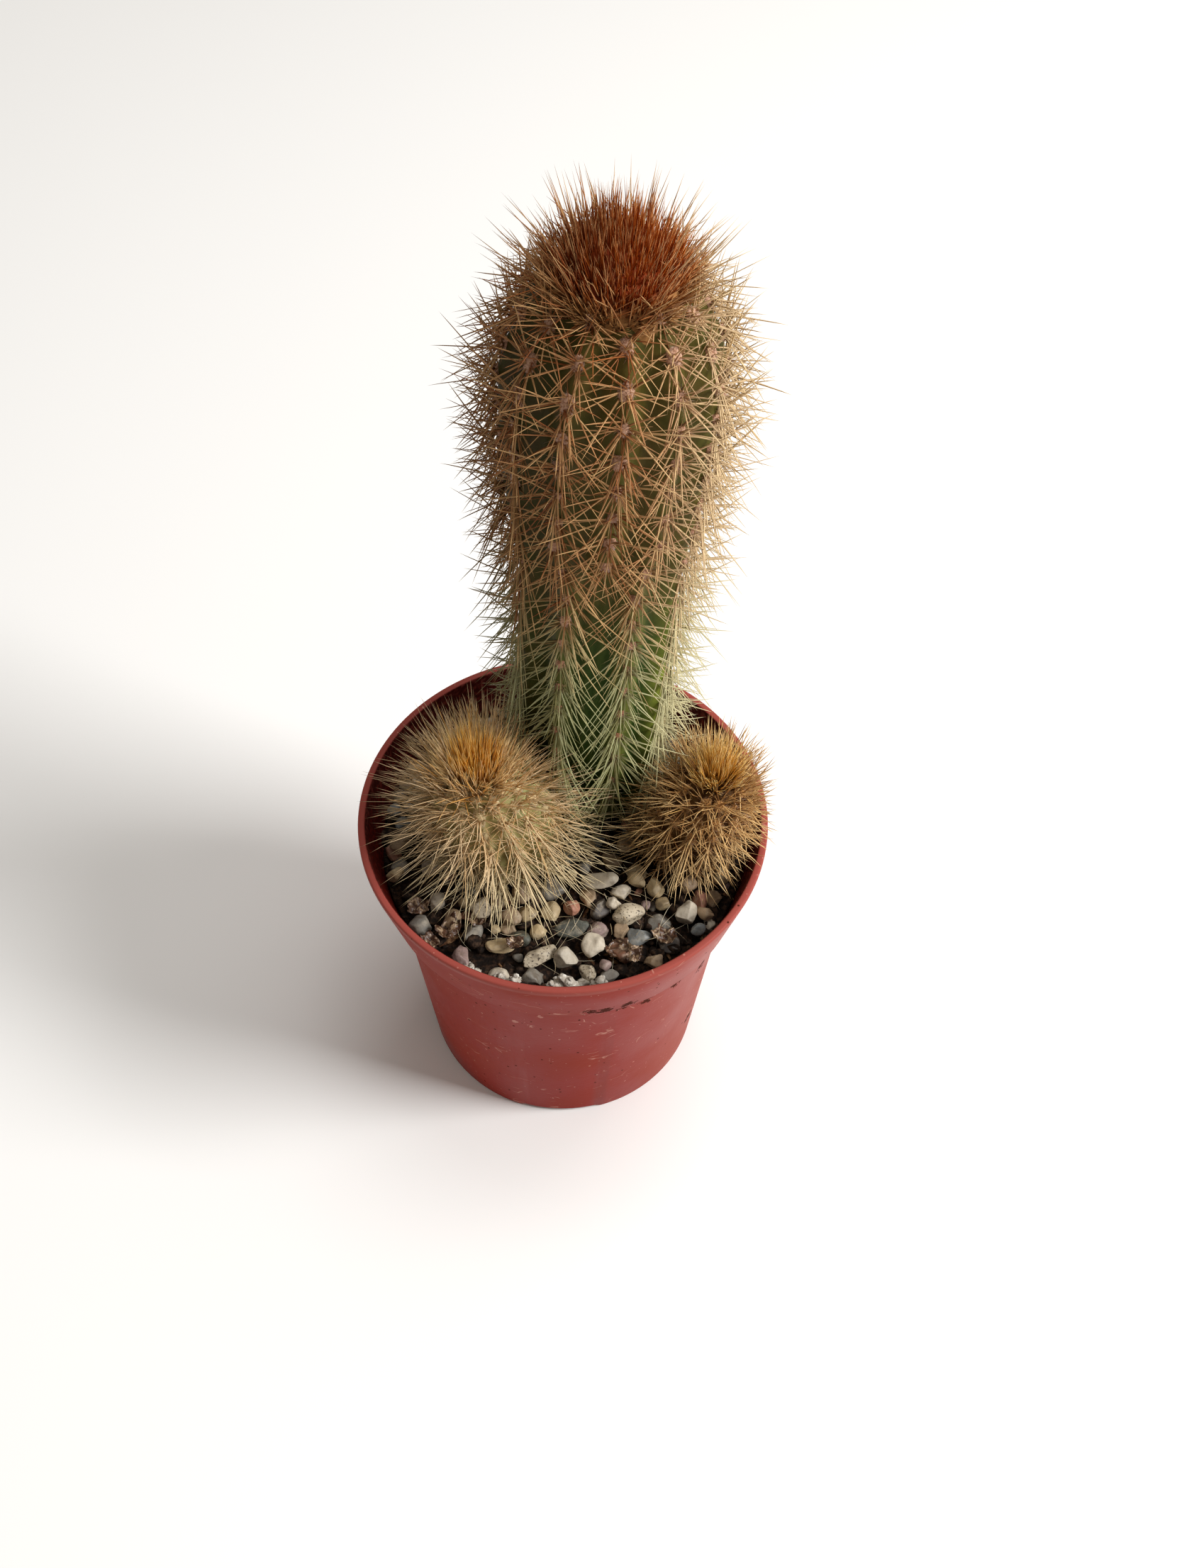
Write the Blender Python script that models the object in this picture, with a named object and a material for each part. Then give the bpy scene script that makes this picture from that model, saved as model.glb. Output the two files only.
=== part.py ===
"""A columnar cactus with two young offsets in a small terracotta-coloured nursery pot.

The origin is on the pot's axis, on the surface that the pot stands on. +Z is up, and the two
offsets stand on the -Y side, the front. Everything is in metres, and MM turns millimetres to metres.
"""

import math
import random
from dataclasses import dataclass, field

import bmesh
import bpy
from mathutils import Matrix, Vector

MM = 0.001
GAP = 0.3 * MM
TURN = 2 * math.pi
FRONT = -math.pi / 2

# Pot: a thin moulded shell with a flared collar round its mouth and a notched foot ring.
POT_SEGMENTS = 40
POT_HEIGHT = 58.0 * MM
RIM_RADIUS = 32.5 * MM
COLLAR_HEIGHT = 12.5 * MM
COLLAR_FOOT_RADIUS = 29.7 * MM
BODY_TOP_RADIUS = 27.9 * MM
FOOT_RADIUS = 23.8 * MM
WALL = 1.15 * MM
LIP_ROUNDING = 0.35 * MM
FLOOR_UNDERSIDE = 1.2 * MM
FLOOR_TOP = 2.4 * MM
FOOT_RING_WIDTH = 1.7 * MM
NOTCH_COUNT = 4
NOTCH_HEIGHT = 0.9 * MM
NOTCH_WIDTH = 12.5 * MM
DRAIN_RADIUS = 1.9 * MM
DRAIN_CIRCLE_RADIUS = 16.0 * MM
DRAIN_SIDES = 12
SHARP_ANGLE = math.radians(35)

# Soil: it fills the pot to a little below the rim.
SOIL_LEVEL = 50.0 * MM
SOIL_RELIEF = 0.35 * MM
SOIL_WAVES = (32.0 * MM, 40.0 * MM, 23.0 * MM)
SOIL_RINGS = (0.86, 0.68, 0.5, 0.32, 0.15)
SOCKET_SIDES = 24
SOCKET_OVERSHOOT = 5.0 * MM

# Gravel: rounded pebbles that lie against each other on the soil.
PEBBLE_SPACING = 4.0 * MM
PEBBLE_RADIUS = (2.5 * MM, 2.95 * MM)
PEBBLE_FLATNESS = (0.62, 0.8)
PEBBLE_LENGTHENING = 1.12
PEBBLE_ROUGHNESS = 0.1
PEBBLE_TILT = 0.25
PEBBLE_SHIFT = 0.5 * MM
PEBBLE_SKIP_CHANCE = 0.03
PEBBLE_OUTLINE = 1.2
PEBBLE_LIFT = 0.4 * SOIL_RELIEF
GRAVEL_TOP = 5.0 * MM

# Needles: slim three-sided spines with their roots sunk in the stem.
NEEDLE_RADIUS = 0.26 * MM
NEEDLE_SUNK = 0.7 * MM
NEEDLE_TRIES = 24
CLEARANCE = 0.45 * MM
PROBES = 6
REACH = 33.2 * MM
SPINE_ROOM = 14.0 * MM

# Ribs: each has a crest and the two edges of the furrow beside it. Furrows fade out at both ends.
SIDES_PER_RIB = 3
RIB_GROWTH = 9.0 * MM
WEAKEST_SPINY_RIB = 0.3
FURROW_FADE_AT_FOOT = 6.0 * MM
FURROW_FADE_AT_TIP = 14.0 * MM
ROW_CROWDING = 0.85
CROWN_MARGIN = 1.2 * MM
FOOT_TOP = 0.5 * MM

# Crown tufts: a low dome of wool on each stem's cut top.
CROWN_SIDES = 16
CROWN_RINGS = (22, 45, 68)
CROWN_LOWEST_NEEDLE = 12


def smooth(value):
    """0 below 0, 1 above 1, and an even curve between."""
    t = min(1.0, max(0.0, value))
    return t * t * (3 - 2 * t)


@dataclass(frozen=True)
class NeedleKind:
    """One needle of a spine cushion: where its root is from the middle, and what it is drawn from."""

    aside: float
    above: float
    tilts: tuple
    clocks: tuple
    lengths: tuple


@dataclass(frozen=True)
class Stem:
    """One ribbed stem. Heights are above the soil, and radii are those of the rib crests."""

    name: str
    foot: tuple
    top: tuple
    height: float
    socket_depth: float
    foot_radius: float
    waist_radius: float
    shoulder_radius: float
    flare: float
    swell_from: float
    shoulder: float
    ribs: int
    rib_depth: float
    first_rib: float
    areole_spacing: float
    lowest_areole: float
    rows: int
    crown_cut: float
    crown_rise: float
    twist: float = 0.0
    late_rib_width: float = 1.0
    rib_starts: dict = field(default_factory=dict)

    def radius(self, h):
        """Crest radius at height h: a narrow foot, a waist, a swelling, and an elliptical dome."""
        if h < self.shoulder:
            foot = (self.waist_radius - self.foot_radius) * math.exp(-max(h, 0.0) / self.flare)
            swell = smooth((h - self.swell_from) / (self.shoulder - self.swell_from))
            return self.waist_radius - foot + (self.shoulder_radius - self.waist_radius) * swell
        t = min(1.0, (h - self.shoulder) / (self.height - self.shoulder))
        return self.shoulder_radius * math.sqrt(max(0.0, 1 - t * t))

    def centre(self, h):
        """Middle of the stem at height h, on an axis that curves gently from foot to top."""
        t = max(0.0, h / self.height) ** 1.5
        x = self.foot[0] + (self.top[0] - self.foot[0]) * t
        y = self.foot[1] + (self.top[1] - self.foot[1]) * t
        return Vector((x, y, SOIL_LEVEL + h))

    def rib_strength(self, rib, h):
        """0 where a rib hasn't begun yet, 1 where it is full."""
        start = self.rib_starts.get(rib)
        return 1.0 if start is None else smooth((h - start) / RIB_GROWTH)

    def rib_angles(self, h):
        """The ribs' directions at height h. Late ribs push their neighbours apart as they grow."""
        widths = []
        for rib in range(self.ribs):
            widths.append(self.late_rib_width + (1 - self.late_rib_width) * self.rib_strength(rib, h))
        share = TURN / sum(widths)
        angles = [self.first_rib + self.twist * h / self.height]
        for rib in range(1, self.ribs):
            angles.append(angles[-1] + share * (widths[rib - 1] + widths[rib]) / 2)
        return angles

    def depth(self, h):
        """How deep the furrows are at height h: none at the foot and at the very top."""
        at_foot = smooth(h / FURROW_FADE_AT_FOOT)
        return self.rib_depth * at_foot * smooth((self.height - h) / FURROW_FADE_AT_TIP)

    def surface(self, h, angle, raised):
        """Point on the stem at a height and direction, raised from 0 in a furrow to 1 on a crest."""
        r = self.radius(h) - self.depth(h) * (1 - raised)
        return self.centre(h) + Vector((math.cos(angle), math.sin(angle), 0)) * r

    def beside_crest(self, h, angle, strength, aside):
        """Point on the facet beside a crest, at a distance aside from it."""
        furrow = 0.5 - 0.5 * math.cos(TURN / SIDES_PER_RIB)
        share = abs(aside) / self.radius(h) * SIDES_PER_RIB / (TURN / self.ribs)
        return self.surface(h, angle + aside / self.radius(h), strength * (1 - furrow * share))

    def slope(self, h):
        """How fast the crest radius grows with height."""
        step = 0.2 * MM
        return (self.radius(h + step) - self.radius(h - step)) / (2 * step)

    def areoles(self):
        """(height, angle, raised) of each spine cushion: staggered from rib to rib, closer on the dome."""
        found = []
        for rib in range(self.ribs):
            h = self.lowest_areole + (self.areole_spacing / 2 if rib % 2 else 0.0)
            while h < self.crown_cut - CROWN_MARGIN:
                strength = self.rib_strength(rib, h)
                if strength > WEAKEST_SPINY_RIB:
                    found.append((h, self.rib_angles(h)[rib], strength))
                h += self.areole_spacing / math.sqrt(1 + self.slope(h) ** 2)
        return found


TALL = Stem(
    name="tall",
    foot=(5.0 * MM, 13.0 * MM),
    top=(7.0 * MM, 9.6 * MM),
    height=106.3 * MM,
    socket_depth=9.0 * MM,
    foot_radius=8.8 * MM,
    waist_radius=11.9 * MM,
    shoulder_radius=14.7 * MM,
    flare=7.0 * MM,
    swell_from=30.0 * MM,
    shoulder=88.5 * MM,
    ribs=12,
    rib_depth=2.0 * MM,
    first_rib=FRONT - math.radians(3.5),
    areole_spacing=6.6 * MM,
    lowest_areole=7.5 * MM,
    rows=15,
    crown_cut=103.6 * MM,
    crown_rise=1.0 * MM,
    twist=math.radians(12),
    late_rib_width=0.45,
    rib_starts={0: 50 * MM, 3: 58 * MM, 6: 44 * MM, 9: 52 * MM},
)
LEFT = Stem(
    name="left",
    foot=(-9.0 * MM, -1.2 * MM),
    top=(-13.4 * MM, -2.2 * MM),
    height=22.5 * MM,
    socket_depth=6.0 * MM,
    foot_radius=7.0 * MM,
    waist_radius=9.2 * MM,
    shoulder_radius=9.4 * MM,
    flare=3.0 * MM,
    swell_from=4.0 * MM,
    shoulder=11.5 * MM,
    ribs=10,
    rib_depth=1.3 * MM,
    first_rib=FRONT,
    areole_spacing=4.6 * MM,
    lowest_areole=6.2 * MM,
    rows=9,
    crown_cut=20.2 * MM,
    crown_rise=1.6 * MM,
)
RIGHT = Stem(
    name="right",
    foot=(19.8 * MM, -0.9 * MM),
    top=(23.6 * MM, -0.4 * MM),
    height=19.5 * MM,
    socket_depth=5.5 * MM,
    foot_radius=5.4 * MM,
    waist_radius=6.9 * MM,
    shoulder_radius=7.1 * MM,
    flare=3.0 * MM,
    swell_from=4.0 * MM,
    shoulder=10.5 * MM,
    ribs=9,
    rib_depth=1.1 * MM,
    first_rib=FRONT + math.radians(12),
    areole_spacing=4.2 * MM,
    lowest_areole=6.0 * MM,
    rows=8,
    crown_cut=17.8 * MM,
    crown_rise=1.4 * MM,
)
STEMS = (TALL, LEFT, RIGHT)


def clear_scene():
    """Removes every object, so that the file starts empty."""
    for obj in list(bpy.data.objects):
        bpy.data.objects.remove(obj, do_unlink=True)


def material(name, colour, roughness, metallic=0.0):
    """A Principled material. colour is linear RGB."""
    made = bpy.data.materials.new(name)
    made.use_nodes = True
    shader = made.node_tree.nodes["Principled BSDF"]
    shader.inputs["Base Color"].default_value = (*colour, 1.0)
    shader.inputs["Roughness"].default_value = roughness
    shader.inputs["Metallic"].default_value = metallic
    return made


def object_from(name, bm, *materials):
    """Turns a bmesh into a linked, smooth-shaded object and frees the bmesh."""
    bmesh.ops.recalc_face_normals(bm, faces=bm.faces)
    mesh = bpy.data.meshes.new(name)
    bm.to_mesh(mesh)
    bm.free()
    mesh.shade_smooth()
    mesh.set_sharp_from_angle(angle=SHARP_ANGLE)
    for one in materials:
        mesh.materials.append(one)
    obj = bpy.data.objects.new(name, mesh)
    bpy.context.scene.collection.objects.link(obj)
    return obj


def lathe(profile, steps):
    """Spins a profile of (radius, height) points, both ends on the axis, into a closed skin."""
    bm = bmesh.new()
    verts = [bm.verts.new((r, 0, z)) for r, z in profile]
    edges = [bm.edges.new(pair) for pair in zip(verts, verts[1:])]
    bmesh.ops.spin(
        bm, geom=verts + edges, cent=(0, 0, 0), axis=(0, 0, 1), angle=TURN, steps=steps, use_merge=True
    )
    bmesh.ops.remove_doubles(bm, verts=bm.verts, dist=0.001 * MM)
    return bm


def combine(obj, tools, operation, solver="EXACT"):
    """Cuts or joins a whole collection of tool objects with one Boolean, applies it and removes them.

    MANIFOLD is for the hundreds of small pieces of a tuft or of the gravel, where EXACT is slow.
    """
    group = bpy.data.collections.new(obj.name + "_tools")
    bpy.context.scene.collection.children.link(group)
    for tool in tools:
        bpy.context.scene.collection.objects.unlink(tool)
        group.objects.link(tool)
    modifier = obj.modifiers.new("Combine", "BOOLEAN")
    modifier.operation = operation
    modifier.operand_type = "COLLECTION"
    modifier.collection = group
    modifier.solver = solver
    bpy.context.view_layer.update()
    evaluated = obj.evaluated_get(bpy.context.evaluated_depsgraph_get())
    combined = bpy.data.meshes.new_from_object(evaluated)
    obj.modifiers.clear()
    obj.data = combined
    combined.set_sharp_from_angle(angle=SHARP_ANGLE)
    for tool in tools:
        bpy.data.objects.remove(tool, do_unlink=True)
    bpy.data.collections.remove(group)


def cylinder(name, centre, radius, height, sides):
    """A closed cylinder standing on centre."""
    bm = bmesh.new()
    place = Matrix.Translation(centre + Vector((0, 0, height / 2)))
    bmesh.ops.create_cone(
        bm, cap_ends=True, segments=sides, radius1=radius, radius2=radius, depth=height, matrix=place
    )
    return object_from(name, bm)


def inner_radius(z):
    """Inside radius of the pot's wall at height z."""
    step = POT_HEIGHT - COLLAR_HEIGHT + WALL
    if z < step:
        t = (z - FLOOR_TOP) / (step - FLOOR_TOP)
        return (FOOT_RADIUS + (BODY_TOP_RADIUS - FOOT_RADIUS) * t) - WALL
    t = (z - step) / (POT_HEIGHT - step)
    return COLLAR_FOOT_RADIUS + (RIM_RADIUS - COLLAR_FOOT_RADIUS) * t - WALL


def make_pot(finish):
    """The pot: shell, collar, rounded lip, notched foot ring and drain holes."""
    collar_foot = POT_HEIGHT - COLLAR_HEIGHT
    inner_step = collar_foot + WALL
    foot_inside = FOOT_RADIUS - FOOT_RING_WIDTH
    profile = [
        (0, FLOOR_UNDERSIDE),
        (foot_inside, FLOOR_UNDERSIDE),
        (foot_inside, 0),
        (FOOT_RADIUS, 0),
        (BODY_TOP_RADIUS, collar_foot),
        (COLLAR_FOOT_RADIUS, collar_foot),
        (RIM_RADIUS, POT_HEIGHT - 2 * LIP_ROUNDING),
        (RIM_RADIUS - LIP_ROUNDING, POT_HEIGHT),
        (RIM_RADIUS - WALL, POT_HEIGHT),
        (inner_radius(inner_step), inner_step),
        (inner_radius(inner_step - 0.01 * MM), inner_step),
        (inner_radius(FLOOR_TOP), FLOOR_TOP),
        (0, FLOOR_TOP),
    ]
    pot = object_from("pot", lathe(profile, POT_SEGMENTS), finish)
    cutters = []
    for n in range(NOTCH_COUNT):
        angle = FRONT + TURN * n / NOTCH_COUNT
        outward = Vector((math.cos(angle), math.sin(angle), 0))
        bm = bmesh.new()
        size = Matrix.Diagonal((4 * FOOT_RING_WIDTH, NOTCH_WIDTH, 2 * NOTCH_HEIGHT, 1))
        place = Matrix.Translation(outward * FOOT_RADIUS) @ Matrix.Rotation(angle, 4, "Z")
        bmesh.ops.create_cube(bm, size=1.0, matrix=place @ size)
        cutters.append(object_from(f"notch_{n}", bm))
        drain = outward * DRAIN_CIRCLE_RADIUS
        cutters.append(cylinder(f"drain_{n}", drain, DRAIN_RADIUS, 2 * FLOOR_TOP, DRAIN_SIDES))
    cutters.append(cylinder("drain_middle", Vector((0, 0, 0)), DRAIN_RADIUS, 2 * FLOOR_TOP, DRAIN_SIDES))
    combine(pot, cutters, "DIFFERENCE")
    return pot


def soil_height(x, y):
    """Height of the soil's gently uneven top."""
    broad = math.cos(TURN * x / SOIL_WAVES[0]) * math.cos(TURN * y / SOIL_WAVES[1])
    narrow = math.sin(TURN * (x - y) / SOIL_WAVES[2])
    return SOIL_LEVEL + SOIL_RELIEF * (broad + narrow) / 2


def make_soil(finish):
    """The potting soil: one plug that fills the pot, with a plain socket for each stem."""
    top = inner_radius(SOIL_LEVEL) - GAP
    step = POT_HEIGHT - COLLAR_HEIGHT + WALL + GAP
    floor = FLOOR_TOP + GAP
    profile = [
        (0, floor),
        (inner_radius(floor) - GAP, floor),
        (inner_radius(step - 2 * GAP) - GAP, step),
        (inner_radius(step) - GAP, step),
        (top, SOIL_LEVEL),
    ]
    profile += [(top * share, SOIL_LEVEL) for share in SOIL_RINGS]
    profile.append((0, SOIL_LEVEL))
    bm = lathe(profile, POT_SEGMENTS)
    for vert in bm.verts:
        if vert.co.z > SOIL_LEVEL - 0.01 * MM:
            vert.co.z = soil_height(vert.co.x, vert.co.y)
    soil = object_from("soil", bm, finish)
    sockets = []
    for stem in STEMS:
        bottom = stem.centre(0) - Vector((0, 0, stem.socket_depth))
        height = stem.socket_depth + SOCKET_OVERSHOOT
        radius = stem.foot_radius + GAP
        sockets.append(cylinder(f"socket_{stem.name}", bottom, radius, height, SOCKET_SIDES))
    combine(soil, sockets, "DIFFERENCE")
    return soil


def pebble(name, centre, radius, flatness, draw, finish):
    """One pebble: a squashed icosahedron with its corners moved a little, lying on the soil."""
    bm = bmesh.new()
    bmesh.ops.create_icosphere(bm, subdivisions=1, radius=1.0)
    for vert in bm.verts:
        vert.co *= 1 + draw.uniform(-PEBBLE_ROUGHNESS, PEBBLE_ROUGHNESS)
    tilt = Matrix.Rotation(draw.uniform(-PEBBLE_TILT, PEBBLE_TILT), 4, "X")
    turn = Matrix.Rotation(draw.uniform(0, TURN), 4, "Z") @ tilt
    length = radius * draw.uniform(1.0, PEBBLE_LENGTHENING)
    size = Matrix.Diagonal((length, radius, radius * flatness, 1))
    bm.transform(turn @ size)
    lowest = min(vert.co.z for vert in bm.verts)
    bm.transform(Matrix.Translation(centre + Vector((0, 0, GAP - lowest))))
    return object_from(name, bm, finish)


def near_stem(point, radius):
    """Whether a pebble of that radius would touch a stem."""
    for stem in STEMS:
        away = (point - stem.centre(0)).to_2d().length
        if away < stem.radius(GRAVEL_TOP) + radius + GAP:
            return True
    return False


def keep_largest_body(obj):
    """Drops every loose body but the largest."""
    bm = bmesh.new()
    bm.from_mesh(obj.data)
    left, bodies = set(bm.verts), []
    while left:
        body, front = set(), [left.pop()]
        while front:
            vert = front.pop()
            body.add(vert)
            for edge in vert.link_edges:
                other = edge.other_vert(vert)
                if other in left:
                    left.discard(other)
                    front.append(other)
        bodies.append(body)
    bodies.sort(key=len)
    scraps = [vert for body in bodies[:-1] for vert in body]
    bmesh.ops.delete(bm, geom=scraps, context="VERTS")
    bm.to_mesh(obj.data)
    bm.free()


def make_gravel(finish):
    """The gravel: pebbles on a jittered triangular grid, each fused to the ones it lies against."""
    draw = random.Random(7)
    pebbles = []
    reach = inner_radius(SOIL_LEVEL)
    rows = int(reach / PEBBLE_SPACING) + 2
    for i in range(-rows, rows + 1):
        for j in range(-rows, rows + 1):
            x = (i + (j % 2) / 2) * PEBBLE_SPACING + draw.uniform(-PEBBLE_SHIFT, PEBBLE_SHIFT)
            y = j * PEBBLE_SPACING * math.sqrt(3) / 2 + draw.uniform(-PEBBLE_SHIFT, PEBBLE_SHIFT)
            radius = draw.uniform(*PEBBLE_RADIUS)
            skipped = draw.random() < PEBBLE_SKIP_CHANCE
            point = Vector((x, y, soil_height(x, y) + PEBBLE_LIFT))
            outline = PEBBLE_OUTLINE * radius
            outside = point.to_2d().length > reach - outline - GAP
            if skipped or outside or near_stem(point, outline):
                continue
            flatness = draw.uniform(*PEBBLE_FLATNESS)
            pebbles.append(pebble(f"pebble_{len(pebbles)}", point, radius, flatness, draw, finish))
    gravel = pebbles.pop(0)
    gravel.name = "gravel"
    combine(gravel, pebbles, "UNION", "MANIFOLD")
    keep_largest_body(gravel)
    return gravel


def side_of_boundary(stem, other, point):
    """Distance by which a point is past the upright plane midway between two stems' sides."""
    a, b = stem.centre(0).to_2d(), other.centre(0).to_2d()
    across = b - a
    apart = across.length
    middle = (apart + stem.waist_radius - other.waist_radius) / 2
    return (point.to_2d() - a).dot(across / apart) - middle


def above_crown_cone(stem, point):
    """Distance by which a point is above the cone that parts a crown's needles from its stem's."""
    middle = stem.centre(stem.crown_cut)
    away = (point - middle).to_2d().length - stem.radius(stem.crown_cut)
    return (point.z - middle.z - away) / math.sqrt(2)


def is_clear(stem, in_crown, root, tip):
    """Whether a needle stays clear of the gravel, the pot, the other stems and the crown or its stem."""
    for n in range(PROBES + 1):
        point = root.lerp(tip, n / PROBES)
        if point.z < SOIL_LEVEL + GRAVEL_TOP + CLEARANCE or max(abs(point.x), abs(point.y)) > REACH:
            return False
        if point.z < POT_HEIGHT + CLEARANCE and point.to_2d().length > inner_radius(point.z) - CLEARANCE:
            return False
        for other in STEMS:
            low = point.z < SOIL_LEVEL + min(stem.height, other.height) + SPINE_ROOM
            if other is not stem and low and side_of_boundary(stem, other, point) > -CLEARANCE:
                return False
        above = above_crown_cone(stem, point)
        if (in_crown and above < CLEARANCE) or (not in_crown and above > -CLEARANCE):
            return False
    return True


def needle(name, root, direction, length, finish):
    """One three-sided needle, its root sunk along its own direction."""
    bm = bmesh.new()
    depth = length + NEEDLE_SUNK
    turn = direction.to_track_quat("Z", "Y").to_matrix().to_4x4()
    place = Matrix.Translation(root + direction * (depth / 2 - NEEDLE_SUNK)) @ turn
    bmesh.ops.create_cone(
        bm, cap_ends=True, segments=3, radius1=NEEDLE_RADIUS, radius2=0, depth=depth, matrix=place
    )
    bmesh.ops.remove_doubles(bm, verts=bm.verts, dist=0.001 * MM)
    return object_from(name, bm, finish)


def frame_at(stem, h, angle):
    """(outward, upward, sideways) of the stem's skin on a rib's crest."""
    flat = Vector((math.cos(angle), math.sin(angle), 0))
    outward = (flat - Vector((0, 0, stem.slope(h)))).normalized()
    sideways = Vector((-math.sin(angle), math.cos(angle), 0))
    return outward, sideways.cross(-outward).normalized(), sideways


def aimed(outward, upward, sideways, tilt, clock):
    """Direction that leans from outward by tilt, towards clock: 0 is up the stem and 180 down, in degrees."""
    lean = upward * math.cos(math.radians(clock)) + sideways * math.sin(math.radians(clock))
    return (outward * math.cos(math.radians(tilt)) + lean * math.sin(math.radians(tilt))).normalized()


def drawn_needle(stem, in_crown, root, frame, kind, draw):
    """(root, direction, length) of a needle, drawn again until it is clear of its neighbours, or None."""
    for attempt in range(NEEDLE_TRIES):
        shorter = 1 - 0.5 * attempt / NEEDLE_TRIES
        direction = aimed(*frame, draw.uniform(*kind.tilts), draw.uniform(*kind.clocks))
        length = draw.uniform(*kind.lengths) * shorter
        if is_clear(stem, in_crown, root, root + direction * length):
            return root, direction, length
    return None


def ring_of_verts(bm, stem, h):
    """The ribbed outline of a stem at height h. Up to FOOT_TOP it is the plain foot."""
    angles = stem.rib_angles(h)
    angles.append(angles[0] + TURN)
    ring = []
    for rib in range(stem.ribs):
        for part in range(SIDES_PER_RIB):
            share = part / SIDES_PER_RIB
            angle = angles[rib] * (1 - share) + angles[rib + 1] * share
            strength = stem.rib_strength(rib, h) * (1 - share)
            strength += stem.rib_strength((rib + 1) % stem.ribs, h) * share
            raised = strength * (0.5 + 0.5 * math.cos(TURN * share))
            point = stem.surface(h if h > FOOT_TOP else 0.0, angle, raised)
            point.z = SOIL_LEVEL + h
            ring.append(bm.verts.new(point))
    return ring


def make_body(stem, skin):
    """The ribbed body up to its crown, with its buried foot."""
    bm = bmesh.new()
    heights = [GAP - stem.socket_depth, FOOT_TOP]
    heights += [stem.crown_cut * (n / stem.rows) ** ROW_CROWDING for n in range(1, stem.rows + 1)]
    rings = [ring_of_verts(bm, stem, h) for h in heights]
    loops = []
    for ring in rings:
        loops.append([bm.edges.new((before, vert)) for before, vert in zip(ring[-1:] + ring, ring)])
    for low, high in zip(loops, loops[1:]):
        bmesh.ops.bridge_loops(bm, edges=low + high)
    bm.faces.new(rings[0])
    bm.faces.new(rings[-1])
    return object_from(f"{stem.name}_stem", bm, skin)


def make_stem(stem, skin, straw, needle_kinds, seed):
    """The ribbed body with its needles fused in."""
    draw = random.Random(seed)
    body = make_body(stem, skin)
    needles = []
    for h, angle, strength in stem.areoles():
        frame = frame_at(stem, h, angle)
        for kind in needle_kinds(h / stem.height):
            root = stem.beside_crest(h + kind.above, angle, strength, kind.aside)
            found = drawn_needle(stem, False, root, frame, kind, draw)
            if found:
                needles.append(needle(f"needle_{len(needles)}", *found, straw))
    combine(body, needles, "UNION", "MANIFOLD")
    return body


def make_crown(stem, wool, count, lengths, seed):
    """The woolly tip: a low dome on the stem's cut top, with needles standing out all round."""
    draw = random.Random(seed)
    kind = NeedleKind(0.0, 0.0, (0, 30), (-90, 90), lengths)
    base = stem.centre(stem.crown_cut) + Vector((0, 0, GAP))
    radius = stem.radius(stem.crown_cut)
    rise = stem.height - stem.crown_cut + stem.crown_rise
    profile = [(0, 0), (radius, 0)]
    for ring in CROWN_RINGS:
        profile.append((radius * math.cos(math.radians(ring)), rise * math.sin(math.radians(ring))))
    profile.append((0, rise))
    bm = lathe(profile, CROWN_SIDES)
    bm.transform(Matrix.Translation(base))
    crown = object_from(f"{stem.name}_crown", bm, wool)
    needles = []
    golden = math.pi * (3 - math.sqrt(5))
    for n in range(count):
        share = (n + 0.5) / count
        lean = math.radians(90 - (90 - CROWN_LOWEST_NEEDLE) * math.sqrt(share))
        angle = n * golden
        flat = Vector((math.cos(angle), math.sin(angle), 0))
        root = base + flat * (radius * math.cos(lean)) + Vector((0, 0, rise * math.sin(lean)))
        outward = (flat * math.cos(lean) / radius + Vector((0, 0, math.sin(lean) / rise))).normalized()
        sideways = Vector((-math.sin(angle), math.cos(angle), 0))
        frame = (outward, sideways.cross(-outward), sideways)
        found = drawn_needle(stem, True, root, frame, kind, draw)
        if found:
            needles.append(needle(f"needle_{len(needles)}", *found, wool))
    combine(crown, needles, "UNION", "MANIFOLD")
    return crown


def tall_needle_kinds(growth):
    """A cushion's needles on the tall stem, drooping at the foot and lifting towards the crown."""
    droop = 150 - 40 * growth
    long = (7.8 + 1.4 * growth) * MM
    aside = 0.95 * MM
    middle = (-40, 40) if growth > 0.5 else (150, 210)
    return [
        NeedleKind(aside, 0.3 * MM, (0, 28), middle, (0.85 * long, 1.1 * long)),
        NeedleKind(aside, -0.6 * MM, (38, 60), (droop - 25, droop + 20), (0.7 * long, 0.9 * long)),
        NeedleKind(-aside, -0.2 * MM, (38, 60), (-droop - 20, -droop + 25), (0.7 * long, 0.9 * long)),
    ]


def offset_needle_kinds(long):
    """A function that gives a cushion's needles on an offset, for needles of about that length."""

    def kinds(growth):
        up = (0.8 + 0.2 * growth) * long
        aside = 0.75 * MM
        return [
            NeedleKind(aside, 0.4 * MM, (0, 25), (0, 120), (0.9 * long, 1.15 * long)),
            NeedleKind(-aside, 0.4 * MM, (30, 55), (-100, -20), (0.7 * up, up)),
            NeedleKind(aside, -0.5 * MM, (35, 60), (60, 150), (0.7 * up, up)),
            NeedleKind(-aside, -0.5 * MM, (35, 60), (-170, -110), (0.7 * up, up)),
        ]

    return kinds


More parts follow.
